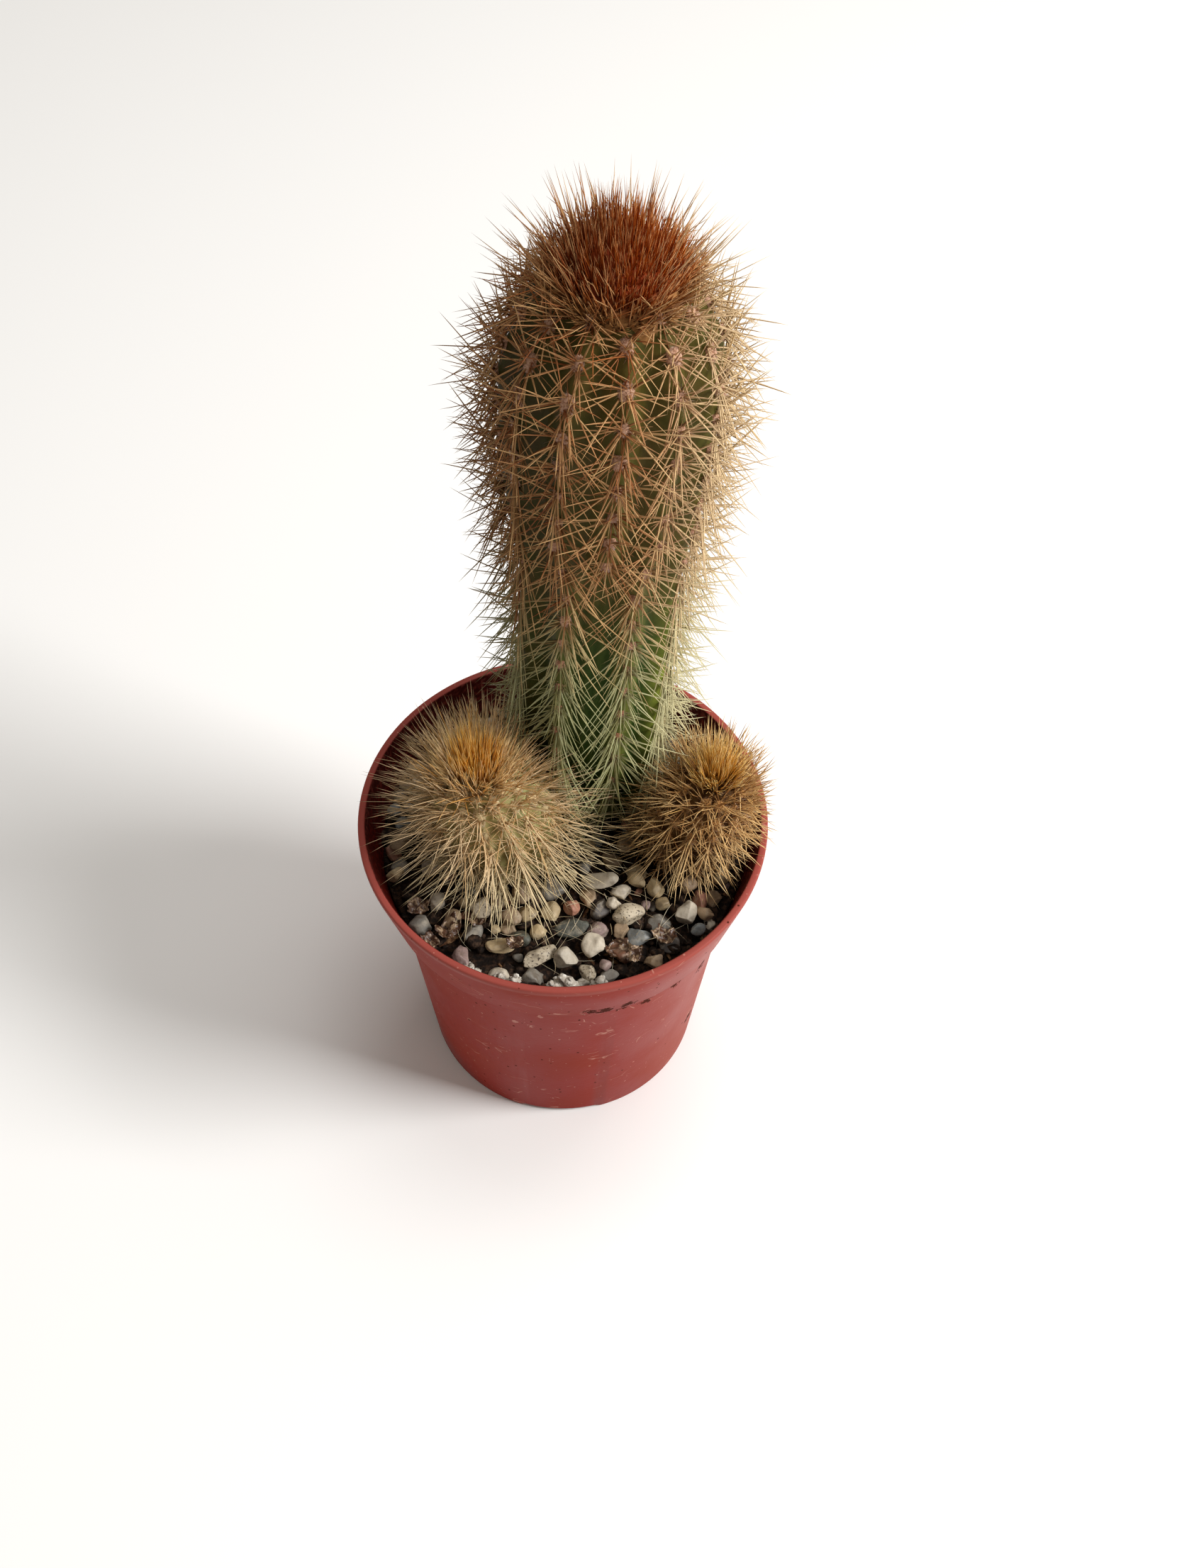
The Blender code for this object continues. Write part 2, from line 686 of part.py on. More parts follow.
def main():
    """Builds the whole plant, piece by piece."""
    clear_scene()
    terracotta = material("terracotta_plastic", (0.38, 0.075, 0.052), 0.5)
    peat = material("peat_soil", (0.012, 0.008, 0.006), 0.95)
    stone = material("river_gravel", (0.42, 0.37, 0.31), 0.75)
    skin = material("cactus_skin", (0.09, 0.14, 0.03), 0.55)
    straw = material("straw_spines", (0.42, 0.30, 0.14), 0.5)
    honey = material("honey_spines", (0.42, 0.25, 0.08), 0.5)
    rust = material("rust_wool", (0.20, 0.045, 0.012), 0.8)
    amber = material("amber_wool", (0.45, 0.19, 0.03), 0.8)
    make_pot(terracotta)
    make_soil(peat)
    make_gravel(stone)
    make_stem(TALL, skin, straw, tall_needle_kinds, 11)
    make_crown(TALL, rust, 95, (5.5 * MM, 8.5 * MM), 12)
    make_stem(LEFT, skin, straw, offset_needle_kinds(8.5 * MM), 21)
    make_crown(LEFT, amber, 44, (6.0 * MM, 9.0 * MM), 22)
    make_stem(RIGHT, skin, honey, offset_needle_kinds(6.5 * MM), 31)
    make_crown(RIGHT, amber, 36, (5.0 * MM, 7.5 * MM), 32)


if __name__ == "__main__":
    main()
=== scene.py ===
"""Looks of a small columnar cactus with two offsets, in a terracotta-coloured nursery pot.

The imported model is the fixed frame. Each of its nodes is stood for here by a finer piece of the
same form: the moulded pot, the peat, single pebbles, ribbed stems, felt cushions and every spine.
+Z is up and the front is -Y. Sizes are in metres, and MM turns millimetres into metres.
"""

import logging
import math
from collections.abc import Callable, Mapping, Sequence
from dataclasses import dataclass, field
from enum import Enum
from functools import partial
from typing import Any

import bmesh
import bpy
import numpy as np
from mathutils import Matrix, Vector, noise


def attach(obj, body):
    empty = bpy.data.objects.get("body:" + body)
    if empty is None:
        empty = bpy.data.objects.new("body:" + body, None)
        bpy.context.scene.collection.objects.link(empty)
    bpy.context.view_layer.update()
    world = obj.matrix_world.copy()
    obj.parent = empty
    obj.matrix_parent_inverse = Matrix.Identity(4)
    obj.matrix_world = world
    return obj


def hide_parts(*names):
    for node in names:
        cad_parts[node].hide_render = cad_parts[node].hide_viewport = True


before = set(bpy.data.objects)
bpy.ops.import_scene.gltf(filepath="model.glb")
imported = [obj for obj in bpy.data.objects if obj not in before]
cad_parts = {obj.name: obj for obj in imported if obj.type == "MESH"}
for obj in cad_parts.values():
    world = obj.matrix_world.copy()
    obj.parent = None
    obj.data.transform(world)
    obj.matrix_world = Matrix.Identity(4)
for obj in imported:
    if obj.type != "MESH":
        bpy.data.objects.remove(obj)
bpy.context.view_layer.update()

MM = 0.001
TURN = 2 * math.pi
FRONT = -math.pi / 2
LOG = logging.getLogger("cactus")
WELD = 0.002 * MM
Span = tuple[float, float]
Point = tuple[float, float, float]
Array = np.ndarray


def linear(code: str) -> tuple[float, float, float, float]:
    """Turns an sRGB hex colour into linear RGBA.

    Args:
        code: The colour as "#RRGGBB".

    Returns:
        Red, green, blue and an alpha of 1.
    """
    channels = [int(code[i : i + 2], 16) / 255 for i in (1, 3, 5)]
    turned = [c / 12.92 if c <= 0.04045 else ((c + 0.055) / 1.055) ** 2.4 for c in channels]
    return (*turned, 1.0)


def smooth(value: Any) -> Any:
    """Returns 0 below 0, 1 above 1 and an even curve between, for a number or an array."""
    t = np.clip(value, 0.0, 1.0)
    return t * t * (3 - 2 * t)


def lerp(low: Any, high: Any, share: Any) -> Any:
    """Returns the value that lies that share of the way from low to high."""
    return low + (high - low) * share


def unit(vectors: Array) -> Array:
    """Returns rows of vectors scaled to length 1."""
    return vectors / np.linalg.norm(vectors, axis=-1, keepdims=True)


def around(angle: float, away: float) -> Span:
    """Returns the point at an angle and a distance from the middle."""
    return away * math.cos(angle), away * math.sin(angle)


Links = Mapping[Any, Any]
Socket = bpy.types.NodeSocket
Adder = Callable[..., Socket]
# A Mix node's inputs and output for colours, and a MapRange node's inputs, by their numbers.
FACTOR, FIRST, SECOND, MIXED = 0, 6, 7, 2
VALUE, LOW, HIGH, FLOOR, TOP = range(5)
COLOURS = {"data_type": "RGBA"}
ADDED = {**COLOURS, "blend_type": "ADD"}
STEP = {"interpolation_type": "SMOOTHSTEP"}
PRODUCT = {"operation": "MULTIPLY"}
LARGER = {"operation": "MAXIMUM"}
SUM = {"operation": "ADD"}
BELOW = {"operation": "LESS_THAN"}
BRISTLE_DATA = ("along", "tone", "youth")


def ends(span: Span) -> Links:
    """Returns a span as the inputs that a range starts and ends at."""
    return {LOW: span[0], HIGH: span[1]}


def fill(tree: bpy.types.NodeTree, node: bpy.types.Node, links: Links) -> None:
    """Sets a node's inputs.

    Args:
        tree: The node tree.
        node: The node.
        links: By input name or number, a socket to link from, a hex colour or a value.
    """
    for key, value in links.items():
        if isinstance(value, Socket):
            tree.links.new(value, node.inputs[key])
        else:
            node.inputs[key].default_value = linear(value) if isinstance(value, str) else value


def add_node(
    tree: bpy.types.NodeTree,
    kind: str,
    settings: Mapping[str, Any] | None = None,
    links: Links | None = None,
    output: str | int = 0,
) -> Socket:
    """Adds a node with its settings and links.

    Args:
        tree: The node tree that it goes into.
        kind: The node's type name, without "ShaderNode".
        settings: Properties of the node by name.
        links: What its inputs are set to or linked from, as in fill.
        output: Name or number of the output that is wanted.

    Returns:
        That output.
    """
    node = tree.nodes.new("ShaderNode" + kind)
    for name, value in (settings or {}).items():
        setattr(node, name, value)
    fill(tree, node, links or {})
    return node.outputs[output]


@dataclass(frozen=True)
class Coat:
    """A colour laid over those below it, as thick as its guide says.

    With a span, it is bare where the guide is at the span's start, and top where it is at its end.
    """

    colour: Socket | str
    guide: Socket
    span: Span | None = None
    top: float = 1.0


@dataclass(frozen=True)
class Pattern:
    """What a finish paints: a base colour, the coats over it, its roughness and its relief."""

    base: Socket | str
    coats: Sequence[Coat] = ()
    roughness: Any = 0.5
    height: Socket | None = None
    depth: float = 0.0
    strength: float = 1.0
    specular: float = 0.5
    sheen: float = 0.0


@dataclass(frozen=True)
class Finish:
    """A material. Each kind of finish gives its own pattern."""

    name: str

    def pattern(self, add: Adder) -> Pattern:
        """Gives the finish's pattern.

        Args:
            add: Adds a node to the material.

        Returns:
            The pattern.
        """
        raise NotImplementedError

    def make(self) -> bpy.types.Material:
        """Builds the material: lays the coats over the base one by one and sets the shader.

        Returns:
            The material.
        """
        made = bpy.data.materials.new(self.name)
        made.use_nodes = True
        tree = made.node_tree
        add = partial(add_node, tree)
        pattern = self.pattern(add)
        colour = pattern.base
        for coat in pattern.coats:
            share = coat.guide
            if coat.span:
                share = add("MapRange", STEP, {VALUE: share, **ends(coat.span), TOP: coat.top})
            colour = add("Mix", COLOURS, {FACTOR: share, FIRST: colour, SECOND: coat.colour}, MIXED)
        links = {"Base Color": colour, "Roughness": pattern.roughness}
        links |= {"Specular IOR Level": pattern.specular, "Sheen Weight": pattern.sheen}
        if pattern.height:
            relief = {"Distance": pattern.depth, "Strength": pattern.strength}
            links["Normal"] = add("Bump", {}, {"Height": pattern.height, **relief})
        fill(tree, tree.nodes["Principled BSDF"], links)
        return made


@dataclass(frozen=True)
class MouldedPolypropylene(Finish):
    """Thin moulded polypropylene, as nursery pots are, which gives the eye a soft waxy gloss.

    Hard water leaves a pale bloom and specks of lime on it, handling leaves fine scratches, and wet
    soil leaves brown stains under the collar and dries as a dull film inside. The inside is also
    darkened as painted shade, the right side's pale coat is dust and a painted sheen, and the lip
    is painted paler as a painted highlight.
    """

    body: str = "#8A1A0A"
    # The lip is painted paler and pinker: a painted highlight along the rim.
    lip: str = "#96473E"
    bloom: str = "#8E3C24"
    # Dust, and a painted sheen on the right side where the light falls.
    dust_and_sheen: str = "#A8665A"
    lime: str = "#C08474"
    dirt: str = "#421A0E"
    # Dried soil, and painted shade on the inner wall.
    inside: str = "#3E100C"
    cloud_size: float = 14 * MM
    grain_size: float = 0.7 * MM
    lip_sheen_heights: Span = (56.2 * MM, 57.0 * MM)
    # The right side, where the pale coat is a painted sheen as well as dust.
    sheen_side: Span = (8 * MM, 27 * MM)
    dusty_back: Span = (-8 * MM, 16 * MM)
    stains: tuple[Point, ...] = ()
    stain_radius: float = 2.9 * MM
    stain_grain: float = 0.8 * MM
    crusts: tuple[Point, ...] = ()
    crust_radius: float = 1.2 * MM
    crust_grain: float = 0.5 * MM
    lime_specks: tuple[Point, ...] = ((1.25 * MM, 0.2, 0.06), (0.55 * MM, 0.26, 0.05))
    soil_specks: Point = (1.5 * MM, 0.18, 0.17)
    speck_wobble: float = 0.12 * MM
    scratch_spacing: float = 4.5 * MM
    scratch_warp: float = 4 * MM
    wave_size: float = 5 * MM
    patch_size: float = 3.5 * MM
    relief: float = 0.05 * MM

    def pattern(self, add: Adder) -> Pattern:
        """Gives bloom, lime specks, scratches and stains over the plastic's colour.

        Args:
            add: Adds a node to the material.

        Returns:
            The pattern.
        """
        place = add("TexCoord", output="Object")
        across, depth, height = (add("SeparateXYZ", {}, {0: place}, axis) for axis in "XYZ")
        cloud = add("TexNoise", {}, {"Vector": place, "Scale": 1 / self.cloud_size, "Detail": 4.0})
        rough = add("TexNoise", {}, {"Vector": place, "Scale": 1 / self.grain_size, "Detail": 3.0})
        # The right side is painted paler here: a painted sheen.
        side = add("MapRange", STEP, {VALUE: across, **ends(self.sheen_side), TOP: 0.34})
        back = add("MapRange", STEP, {VALUE: depth, **ends(self.dusty_back), TOP: 0.3})
        # The inner wall is darkened: dried soil and painted shade.
        within = add("Attribute", {"attribute_name": "inside"}, output="Fac")
        dirt_and_shade_splash = add("MapRange", STEP, {VALUE: rough, LOW: 0.25, HIGH: 0.6, FLOOR: 0.55, TOP: 1.0})
        shine = add("MapRange", STEP, {VALUE: cloud, LOW: 0.3, HIGH: 0.8, FLOOR: 0.36, TOP: 0.56})
        pale = self.scratches(add, place)
        brown = self.patches(add, place, self.stains, self.stain_radius, self.stain_grain)
        crusts = self.patches(add, place, self.crusts, self.crust_radius, self.crust_grain)
        for mark in (crusts, *(self.specks(add, place, *size) for size in self.lime_specks)):
            pale = add("Math", LARGER, {0: pale, 1: mark})
        brown = add("Math", LARGER, {0: brown, 1: self.specks(add, place, *self.soil_specks)})
        dirty = add("Math", PRODUCT, {0: brown, 1: 0.95})
        coats = [
            Coat(self.bloom, cloud, (0.42, 0.72), 0.35),
            # Dust, and a painted sheen on the right side.
            Coat(self.dust_and_sheen, add("Math", LARGER, {0: side, 1: back})),
            # The lip painted paler: a painted highlight along the rim.
            Coat(self.lip, height, self.lip_sheen_heights),
            Coat(self.lime, add("Math", PRODUCT, {0: pale, 1: 0.7})),
            Coat(self.dirt, dirty),
            # Inside: dried soil and painted shade.
            Coat(self.inside, add("Math", PRODUCT, {0: within, 1: dirt_and_shade_splash})),
        ]
        dull = add("Math", LARGER, {0: shine, 1: dirty})
        return Pattern(self.body, coats, dull, rough, self.relief, strength=0.35, specular=0.07)

    def specks(
        self, add: Adder, place: Socket, spacing: float, size: float, chance: float
    ) -> Socket:
        """Gives small dots in some cells of a random net.

        Args:
            add: Adds a node to the material.
            place: The coordinates.
            spacing: Breadth of a cell, in metres.
            size: Radius of a dot, as a share of a cell.
            chance: Share of the cells that have a dot.

        Returns:
            1 on a dot and 0 beside it.
        """
        wobble = add("TexNoise", {}, {"Vector": place, "Scale": 3 / spacing}, "Color")
        links = {FACTOR: self.speck_wobble, FIRST: place, SECOND: wobble}
        cells = {"Vector": add("Mix", ADDED, links, MIXED), "Scale": 1 / spacing}
        away = add("TexVoronoi", {}, cells, "Distance")
        pick = add("SeparateColor", {}, {0: add("TexVoronoi", {}, cells, "Color")})
        dot = add("MapRange", STEP, {VALUE: away, LOW: size, HIGH: size * 0.55})
        return add("Math", PRODUCT, {0: dot, 1: add("Math", BELOW, {0: pick, 1: chance})})

    def scratches(self, add: Adder, place: Socket) -> Socket:
        """Gives a few thin pale lines that run round the pot.

        Args:
            add: Adds a node to the material.
            place: The coordinates.

        Returns:
            1 on a line and 0 beside it.
        """
        flat = add("Mapping", {}, {"Vector": place, "Scale": (0.45, 0.45, 1.6)})
        warp = add("TexNoise", {}, {"Vector": place, "Scale": 1 / self.wave_size}, "Color")
        links = {FACTOR: self.scratch_warp, FIRST: flat, SECOND: warp}
        cells = {"Vector": add("Mix", ADDED, links, MIXED), "Scale": 1 / self.scratch_spacing}
        edge = add("TexVoronoi", {"feature": "DISTANCE_TO_EDGE"}, cells)
        line = add("MapRange", STEP, {VALUE: edge, LOW: 0.022, HIGH: 0.008})
        patch = add("TexNoise", {}, {"Vector": place, "Scale": 1 / self.patch_size, "Detail": 1.0})
        some = add("MapRange", STEP, {VALUE: patch, LOW: 0.6, HIGH: 0.67})
        return add("Math", PRODUCT, {0: line, 1: some})

    def patches(
        self, add: Adder, place: Socket, spots: Sequence[Point], radius: float, grain: float
    ) -> Socket:
        """Gives ragged patches round a few spots.

        Args:
            add: Adds a node to the material.
            place: The coordinates.
            spots: The patches' middles.
            radius: How far they reach.
            grain: How coarse their edges are.

        Returns:
            1 in a patch and 0 beside it.
        """
        near: Any = 0.0
        for spot in spots:
            away = add("VectorMath", {"operation": "DISTANCE"}, {0: place, 1: spot}, "Value")
            reach = add("MapRange", STEP, {VALUE: away, LOW: radius, HIGH: 0.0, TOP: 0.36})
            near = add("Math", LARGER, {0: near, 1: reach})
        ragged = {"Vector": place, "Scale": 1 / grain, "Detail": 6.0, "Roughness": 0.65}
        torn = add("Math", SUM, {0: near, 1: add("TexNoise", {}, ragged)})
        return add("MapRange", STEP, {VALUE: torn, LOW: 0.74, HIGH: 0.78})


@dataclass(frozen=True)
class LooseGround(Finish):
    """Crumbly matt stuff: damp peat that looks nearly black, bark chips, or chalky white pumice."""

    deep: str
    high: str
    grain: float = 0.8 * MM
    roughness: float = 0.85
    relief: float = 0.5 * MM

    def pattern(self, add: Adder) -> Pattern:
        """Gives the crumbs' blotches and relief.

        Args:
            add: Adds a node to the material.

        Returns:
            The pattern.
        """
        place = add("TexCoord", output="Object")
        crumbs = add("TexNoise", {}, {"Vector": place, "Scale": 1 / self.grain, "Detail": 6.0})
        coats = [Coat(self.high, crumbs, (0.42, 0.72))]
        return Pattern(
            self.deep, coats, self.roughness, crumbs, self.relief, strength=0.9, specular=0.15
        )


@dataclass(frozen=True)
class PaperyHusk(Finish):
    """Dry papery plant scale, brown and shiny like cellophane, with paler veins and rims."""

    deep: str = "#4E3424"
    pale: str = "#B79C7E"
    vein_size: float = 0.9 * MM
    relief: float = 0.3 * MM

    def pattern(self, add: Adder) -> Pattern:
        """Gives the scale's veins.

        Args:
            add: Adds a node to the material.

        Returns:
            The pattern.
        """
        place = add("TexCoord", output="Object")
        fine = {"Vector": place, "Scale": 1 / self.vein_size, "Detail": 5.0, "Distortion": 1.0}
        veins = add("TexNoise", {}, fine)
        coats = [Coat(self.pale, veins, (0.48, 0.68))]
        return Pattern(self.deep, coats, 0.28, veins, self.relief, strength=0.8)


@dataclass(frozen=True)
class RiverStone(Finish):
    """Water-worn quartz and slate gravel. Each stone has its own colour, clouds and freckles."""

    pale: str = "#D8CAB2"
    dull: str = "#544636"
    freckle: str = "#3E3024"
    cloud_size: float = 1.7 * MM
    grain_size: float = 0.34 * MM
    relief: float = 0.1 * MM

    def pattern(self, add: Adder) -> Pattern:
        """Gives each stone's own colour with clouds, freckles and fine pits.

        Args:
            add: Adds a node to the material.

        Returns:
            The pattern.
        """
        place = add("TexCoord", output="Object")
        own = add("Attribute", {"attribute_name": "tint"}, output="Color")
        freckled = add("Attribute", {"attribute_name": "freckled"}, output="Fac")
        cloud = add("TexNoise", {}, {"Vector": place, "Scale": 1 / self.cloud_size, "Detail": 5.0})
        grain = add("TexNoise", {}, {"Vector": place, "Scale": 1 / self.grain_size, "Detail": 3.0})
        dots = add("MapRange", STEP, {VALUE: grain, LOW: 0.55, HIGH: 0.66})
        coats = [
            Coat(self.pale, cloud, (0.5, 0.75), 0.35),
            Coat(self.dull, cloud, (0.5, 0.28), 0.55),
            Coat(self.freckle, add("Math", PRODUCT, {0: dots, 1: freckled})),
        ]
        rough = add("MapRange", STEP, {VALUE: cloud, LOW: 0.2, HIGH: 0.8, FLOOR: 0.45, TOP: 0.75})
        return Pattern(own, coats, rough, grain, self.relief, strength=0.5)


@dataclass(frozen=True)
class CactusSkin(Finish):
    """Living cactus skin: waxy green, bluish in the furrows, and yellower where it is stretched.
    A painted highlight lies on the crests low on the right side, and painted shade on the left.
    """

    crest: str = "#6E7436"
    furrow: str = "#2C4418"
    upper: str = "#604A20"
    shaded: str = "#30240A"
    # Painted highlight on the lit crests low on the right side.
    sunny: str = "#8E9A38"
    shaded_side: Span = (6 * MM, -6 * MM)
    sunny_side: Span = (8 * MM, 16 * MM)
    sunny_heights: Span = (110 * MM, 86 * MM)
    upper_heights: Span = (88 * MM, 118 * MM)
    cloud_size: float = 2.6 * MM
    grain_size: float = 0.35 * MM
    relief: float = 0.05 * MM

    def pattern(self, add: Adder) -> Pattern:
        """Gives the change of green from furrow to crest, and painted shade and painted light from
        side to side.

        Args:
            add: Adds a node to the material.

        Returns:
            The pattern.
        """
        place = add("TexCoord", output="Object")
        across, height = (add("SeparateXYZ", {}, {0: place}, axis) for axis in "XZ")
        crest = add("Attribute", {"attribute_name": "crest"}, output="Fac")
        mottle = add("TexNoise", {}, {"Vector": place, "Scale": 1 / self.cloud_size, "Detail": 3.0})
        fine = add("TexNoise", {}, {"Vector": place, "Scale": 1 / self.grain_size, "Detail": 3.0})
        lit = add("MapRange", STEP, {VALUE: across, **ends(self.sunny_side), TOP: 0.8})
        under = add("MapRange", STEP, {VALUE: height, **ends(self.sunny_heights)})
        sunny = add("Math", PRODUCT, {0: add("Math", PRODUCT, {0: lit, 1: crest}), 1: under})
        coats = [
            Coat(self.crest, crest),
            Coat(self.upper, height, self.upper_heights, 0.7),
            Coat(self.shaded, across, self.shaded_side, 0.75),
            Coat(self.sunny, sunny),
            Coat(self.furrow, mottle, (0.35, 0.7), 0.35),
        ]
        rough = add("MapRange", STEP, {VALUE: mottle, LOW: 0.2, HIGH: 0.8, FLOOR: 0.4, TOP: 0.6})
        return Pattern(self.furrow, coats, rough, fine, self.relief, strength=0.5, specular=0.1)


@dataclass(frozen=True)
class SpineHorn(Finish):
    """Dry horny spines, matt with a little gloss along them.

    Each spine has its own tone. Old ones low on a stem are faded, younger ones are tan, and the
    newest round the tip keep the crown's colour. Spines on the right side are painted paler, a
    painted highlight, and those on the left side darker, a painted shade.
    """

    old_pale: str = "#B8B88A"
    old_dark: str = "#8A8450"
    young_pale: str = "#CEA672"
    young_dark: str = "#94542C"
    newest: str = "#96582A"
    root: str = "#9A6E48"
    shaded: str = "#523416"
    shaded_side: Span = (2 * MM, -16 * MM)
    shade: float = 0.5
    # Spines on the right side are painted paler: a painted highlight where the light falls.
    sunlit_pale: str = "#E8D6AC"
    sunlit_side: Span = (8 * MM, 20 * MM)
    sunlight: float = 0.0
    ages: Span = (0.36, 0.66)
    new_from: float = 0.96

    def pattern(self, add: Adder) -> Pattern:
        """Gives the change of colour along each spine, from spine to spine and with age, with
        painted shade on the left side and a painted highlight on the right.

        Args:
            add: Adds a node to the material.

        Returns:
            The pattern.
        """
        place = add("TexCoord", output="Object")
        across = add("SeparateXYZ", {}, {0: place}, "X")
        along, tone, youth = (
            add("Attribute", {"attribute_name": key}, output="Fac") for key in BRISTLE_DATA
        )
        pair = {FACTOR: tone, FIRST: self.young_pale, SECOND: self.young_dark}
        young = add("Mix", COLOURS, pair, MIXED)
        coats = [
            Coat(self.old_dark, tone),
            Coat(young, youth, self.ages),
            Coat(self.newest, youth, (self.new_from, 1.0)),
            Coat(self.shaded, across, self.shaded_side, self.shade),
            # Painted highlight on the right side.
            Coat(self.sunlit_pale, across, self.sunlit_side, self.sunlight),
            Coat(self.root, along, (0.25, 0.0), 0.6),
        ]
        return Pattern(self.old_pale, coats, roughness=0.55, specular=0.18)


@dataclass(frozen=True)
class AreoleFelt(Finish):
    """Short matted felt of the spine cushions, pinkish when young and rusty when old."""

    old: str = "#A8683C"
    young: str = "#CEA488"
    # Painted shade in the felt's hollows, where the relief is low.
    hollow_shade: str = "#8A5A3C"
    mat_size: float = 0.3 * MM
    relief: float = 0.25 * MM

    def pattern(self, add: Adder) -> Pattern:
        """Gives the felt's colour by age, painted shade in its hollows, and its matted relief.

        Args:
            add: Adds a node to the material.

        Returns:
            The pattern.
        """
        place = add("TexCoord", output="Object")
        mat = add("TexNoise", {}, {"Vector": place, "Scale": 1 / self.mat_size, "Detail": 4.0})
        youth = add("Attribute", {"attribute_name": "youth"}, output="Fac")
        # Painted shade where the relief is low.
        coats = [Coat(self.young, youth), Coat(self.hollow_shade, mat, (0.6, 0.35), 0.8)]
        return Pattern(self.old, coats, 0.95, mat, self.relief, strength=0.9, sheen=0.4)


@dataclass(frozen=True)
class CrownWool(Finish):
    """Young spines and wool of a crown: dark at the roots, a painted shade between the hairs,
    bright above and pale at the tips.
    """

    # Painted shade at the hairs' roots, where they stand close together.
    deep: str = "#4A1606"
    middle: str = "#8E3810"
    bright: str = "#C4681F"
    tip: str = "#C99A68"
    border: str = "#A87C4A"
    shaded: str = "#4E1A08"
    shaded_side: Span = (10 * MM, 0 * MM)
    border_from: Span = (0.42, 0.08)
    mat_size: float = 0.5 * MM
    relief: float = 0.2 * MM

    def pattern(self, add: Adder) -> Pattern:
        """Gives the change of colour along each hair, from hair to hair and towards the border,
        with painted shade at the roots and on the left side.

        Args:
            add: Adds a node to the material.

        Returns:
            The pattern.
        """
        place = add("TexCoord", output="Object")
        across = add("SeparateXYZ", {}, {0: place}, "X")
        along, tone, youth = (
            add("Attribute", {"attribute_name": key}, output="Fac") for key in BRISTLE_DATA
        )
        mat = add("TexNoise", {}, {"Vector": place, "Scale": 1 / self.mat_size, "Detail": 4.0})
        coats = [
            Coat(self.bright, tone),
            Coat(self.shaded, across, self.shaded_side, 0.6),
            Coat(self.border, youth, self.border_from, 0.9),
            # The roots painted dark: painted shade between the hairs.
            Coat(self.deep, along, (0.35, 0.0), 0.8),
            Coat(self.tip, along, (0.6, 1.0), 0.7),
        ]
        return Pattern(self.middle, coats, 0.7, mat, self.relief, strength=0.6, specular=0.12)


@dataclass(frozen=True)
class PaleBoard(Finish):
    """A smooth matt white studio board."""

    colour: str = "#F4F3F1"

    def pattern(self, add: Adder) -> Pattern:
        """Returns a plain matt white."""
        return Pattern(self.colour, roughness=0.9, specular=0.1)


def mesh_from(bm: bmesh.types.BMesh) -> bpy.types.Mesh:
    """Turns a bmesh into a mesh, with its faces turned outwards, and frees it.

    Args:
        bm: The bmesh.

    Returns:
        The mesh.
    """
    bmesh.ops.recalc_face_normals(bm, faces=bm.faces)
    mesh = bpy.data.meshes.new("shape")
    bm.to_mesh(mesh)
    bm.free()
    return mesh


def points_of(mesh: bpy.types.Mesh) -> Array:
    """Returns the places of a mesh's vertices, one row for each."""
    places = np.empty(len(mesh.vertices) * 3)
    mesh.vertices.foreach_get("co", places)
    return places.reshape(-1, 3)


def add_values(mesh: bpy.types.Mesh, name: str, values: Array) -> None:
    """Gives a mesh an attribute with a number for each vertex."""
    layer = mesh.attributes.new(name, "FLOAT", "POINT")
    layer.data.foreach_set("value", values.astype(np.float32))


def link_object(name: str, data: Any) -> bpy.types.Object:
    """Adds an object of a mesh, a light or a camera to the scene.

    Args:
        name: The object's name.
        data: What it shows.

    Returns:
        The object.
    """
    made = bpy.data.objects.new(name, data)
    bpy.context.scene.collection.objects.link(made)
    return made


def add_piece(
    name: str,
    shape: bmesh.types.BMesh | bpy.types.Mesh,
    finish: bpy.types.Material,
    slot: str,
    *replaced: str,
) -> bpy.types.Object:
    """Adds a piece that rides on the plant's one body.

    Args:
        name: The piece's name.
        shape: Its shape, in place.
        finish: Its material.
        slot: A material slot of the record; not used.
        *replaced: The nodes that it stands for.

    Returns:
        The piece.
    """
    mesh = mesh_from(shape) if isinstance(shape, bmesh.types.BMesh) else shape
    mesh.name = name
    mesh.shade_smooth()
    mesh.materials.append(finish)
    piece = link_object(name, mesh)
    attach(piece, "root")
    if replaced:
        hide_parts(*replaced)
    triangles = sum(len(face.vertices) - 2 for face in mesh.polygons)
    LOG.info("%s: %d triangles", name, triangles)
    return piece


def spun(outline: Sequence[Span], steps: int) -> bmesh.types.BMesh:
    """Spins an outline round the pot's axis.

    Args:
        outline: Its points as (radius, height), from the axis to the axis.
        steps: How many faces go round.

    Returns:
        The closed shape.
    """
    bm = bmesh.new()
    verts = [bm.verts.new((radius, 0, height)) for radius, height in outline]
    edges = [bm.edges.new(pair) for pair in zip(verts, verts[1:])]
    way = {"cent": (0, 0, 0), "axis": (0, 0, 1), "angle": TURN, "steps": steps}
    bmesh.ops.spin(bm, geom=verts + edges, use_merge=True, **way)
    bmesh.ops.remove_doubles(bm, verts=bm.verts, dist=WELD)
    return bm


def laid(turn: float, tip: float = 0.0) -> Matrix:
    """Returns a tip about Y and then a turn about Z, in radians."""
    return Matrix.Rotation(turn, 4, "Z") @ Matrix.Rotation(tip, 4, "Y")


@dataclass(frozen=True)
class Sites:
    """Where spine cushions sit: one row for each, with its place and its three directions."""

    place: Array
    outward: Array
    upward: Array
    sideways: Array
    growth: Array


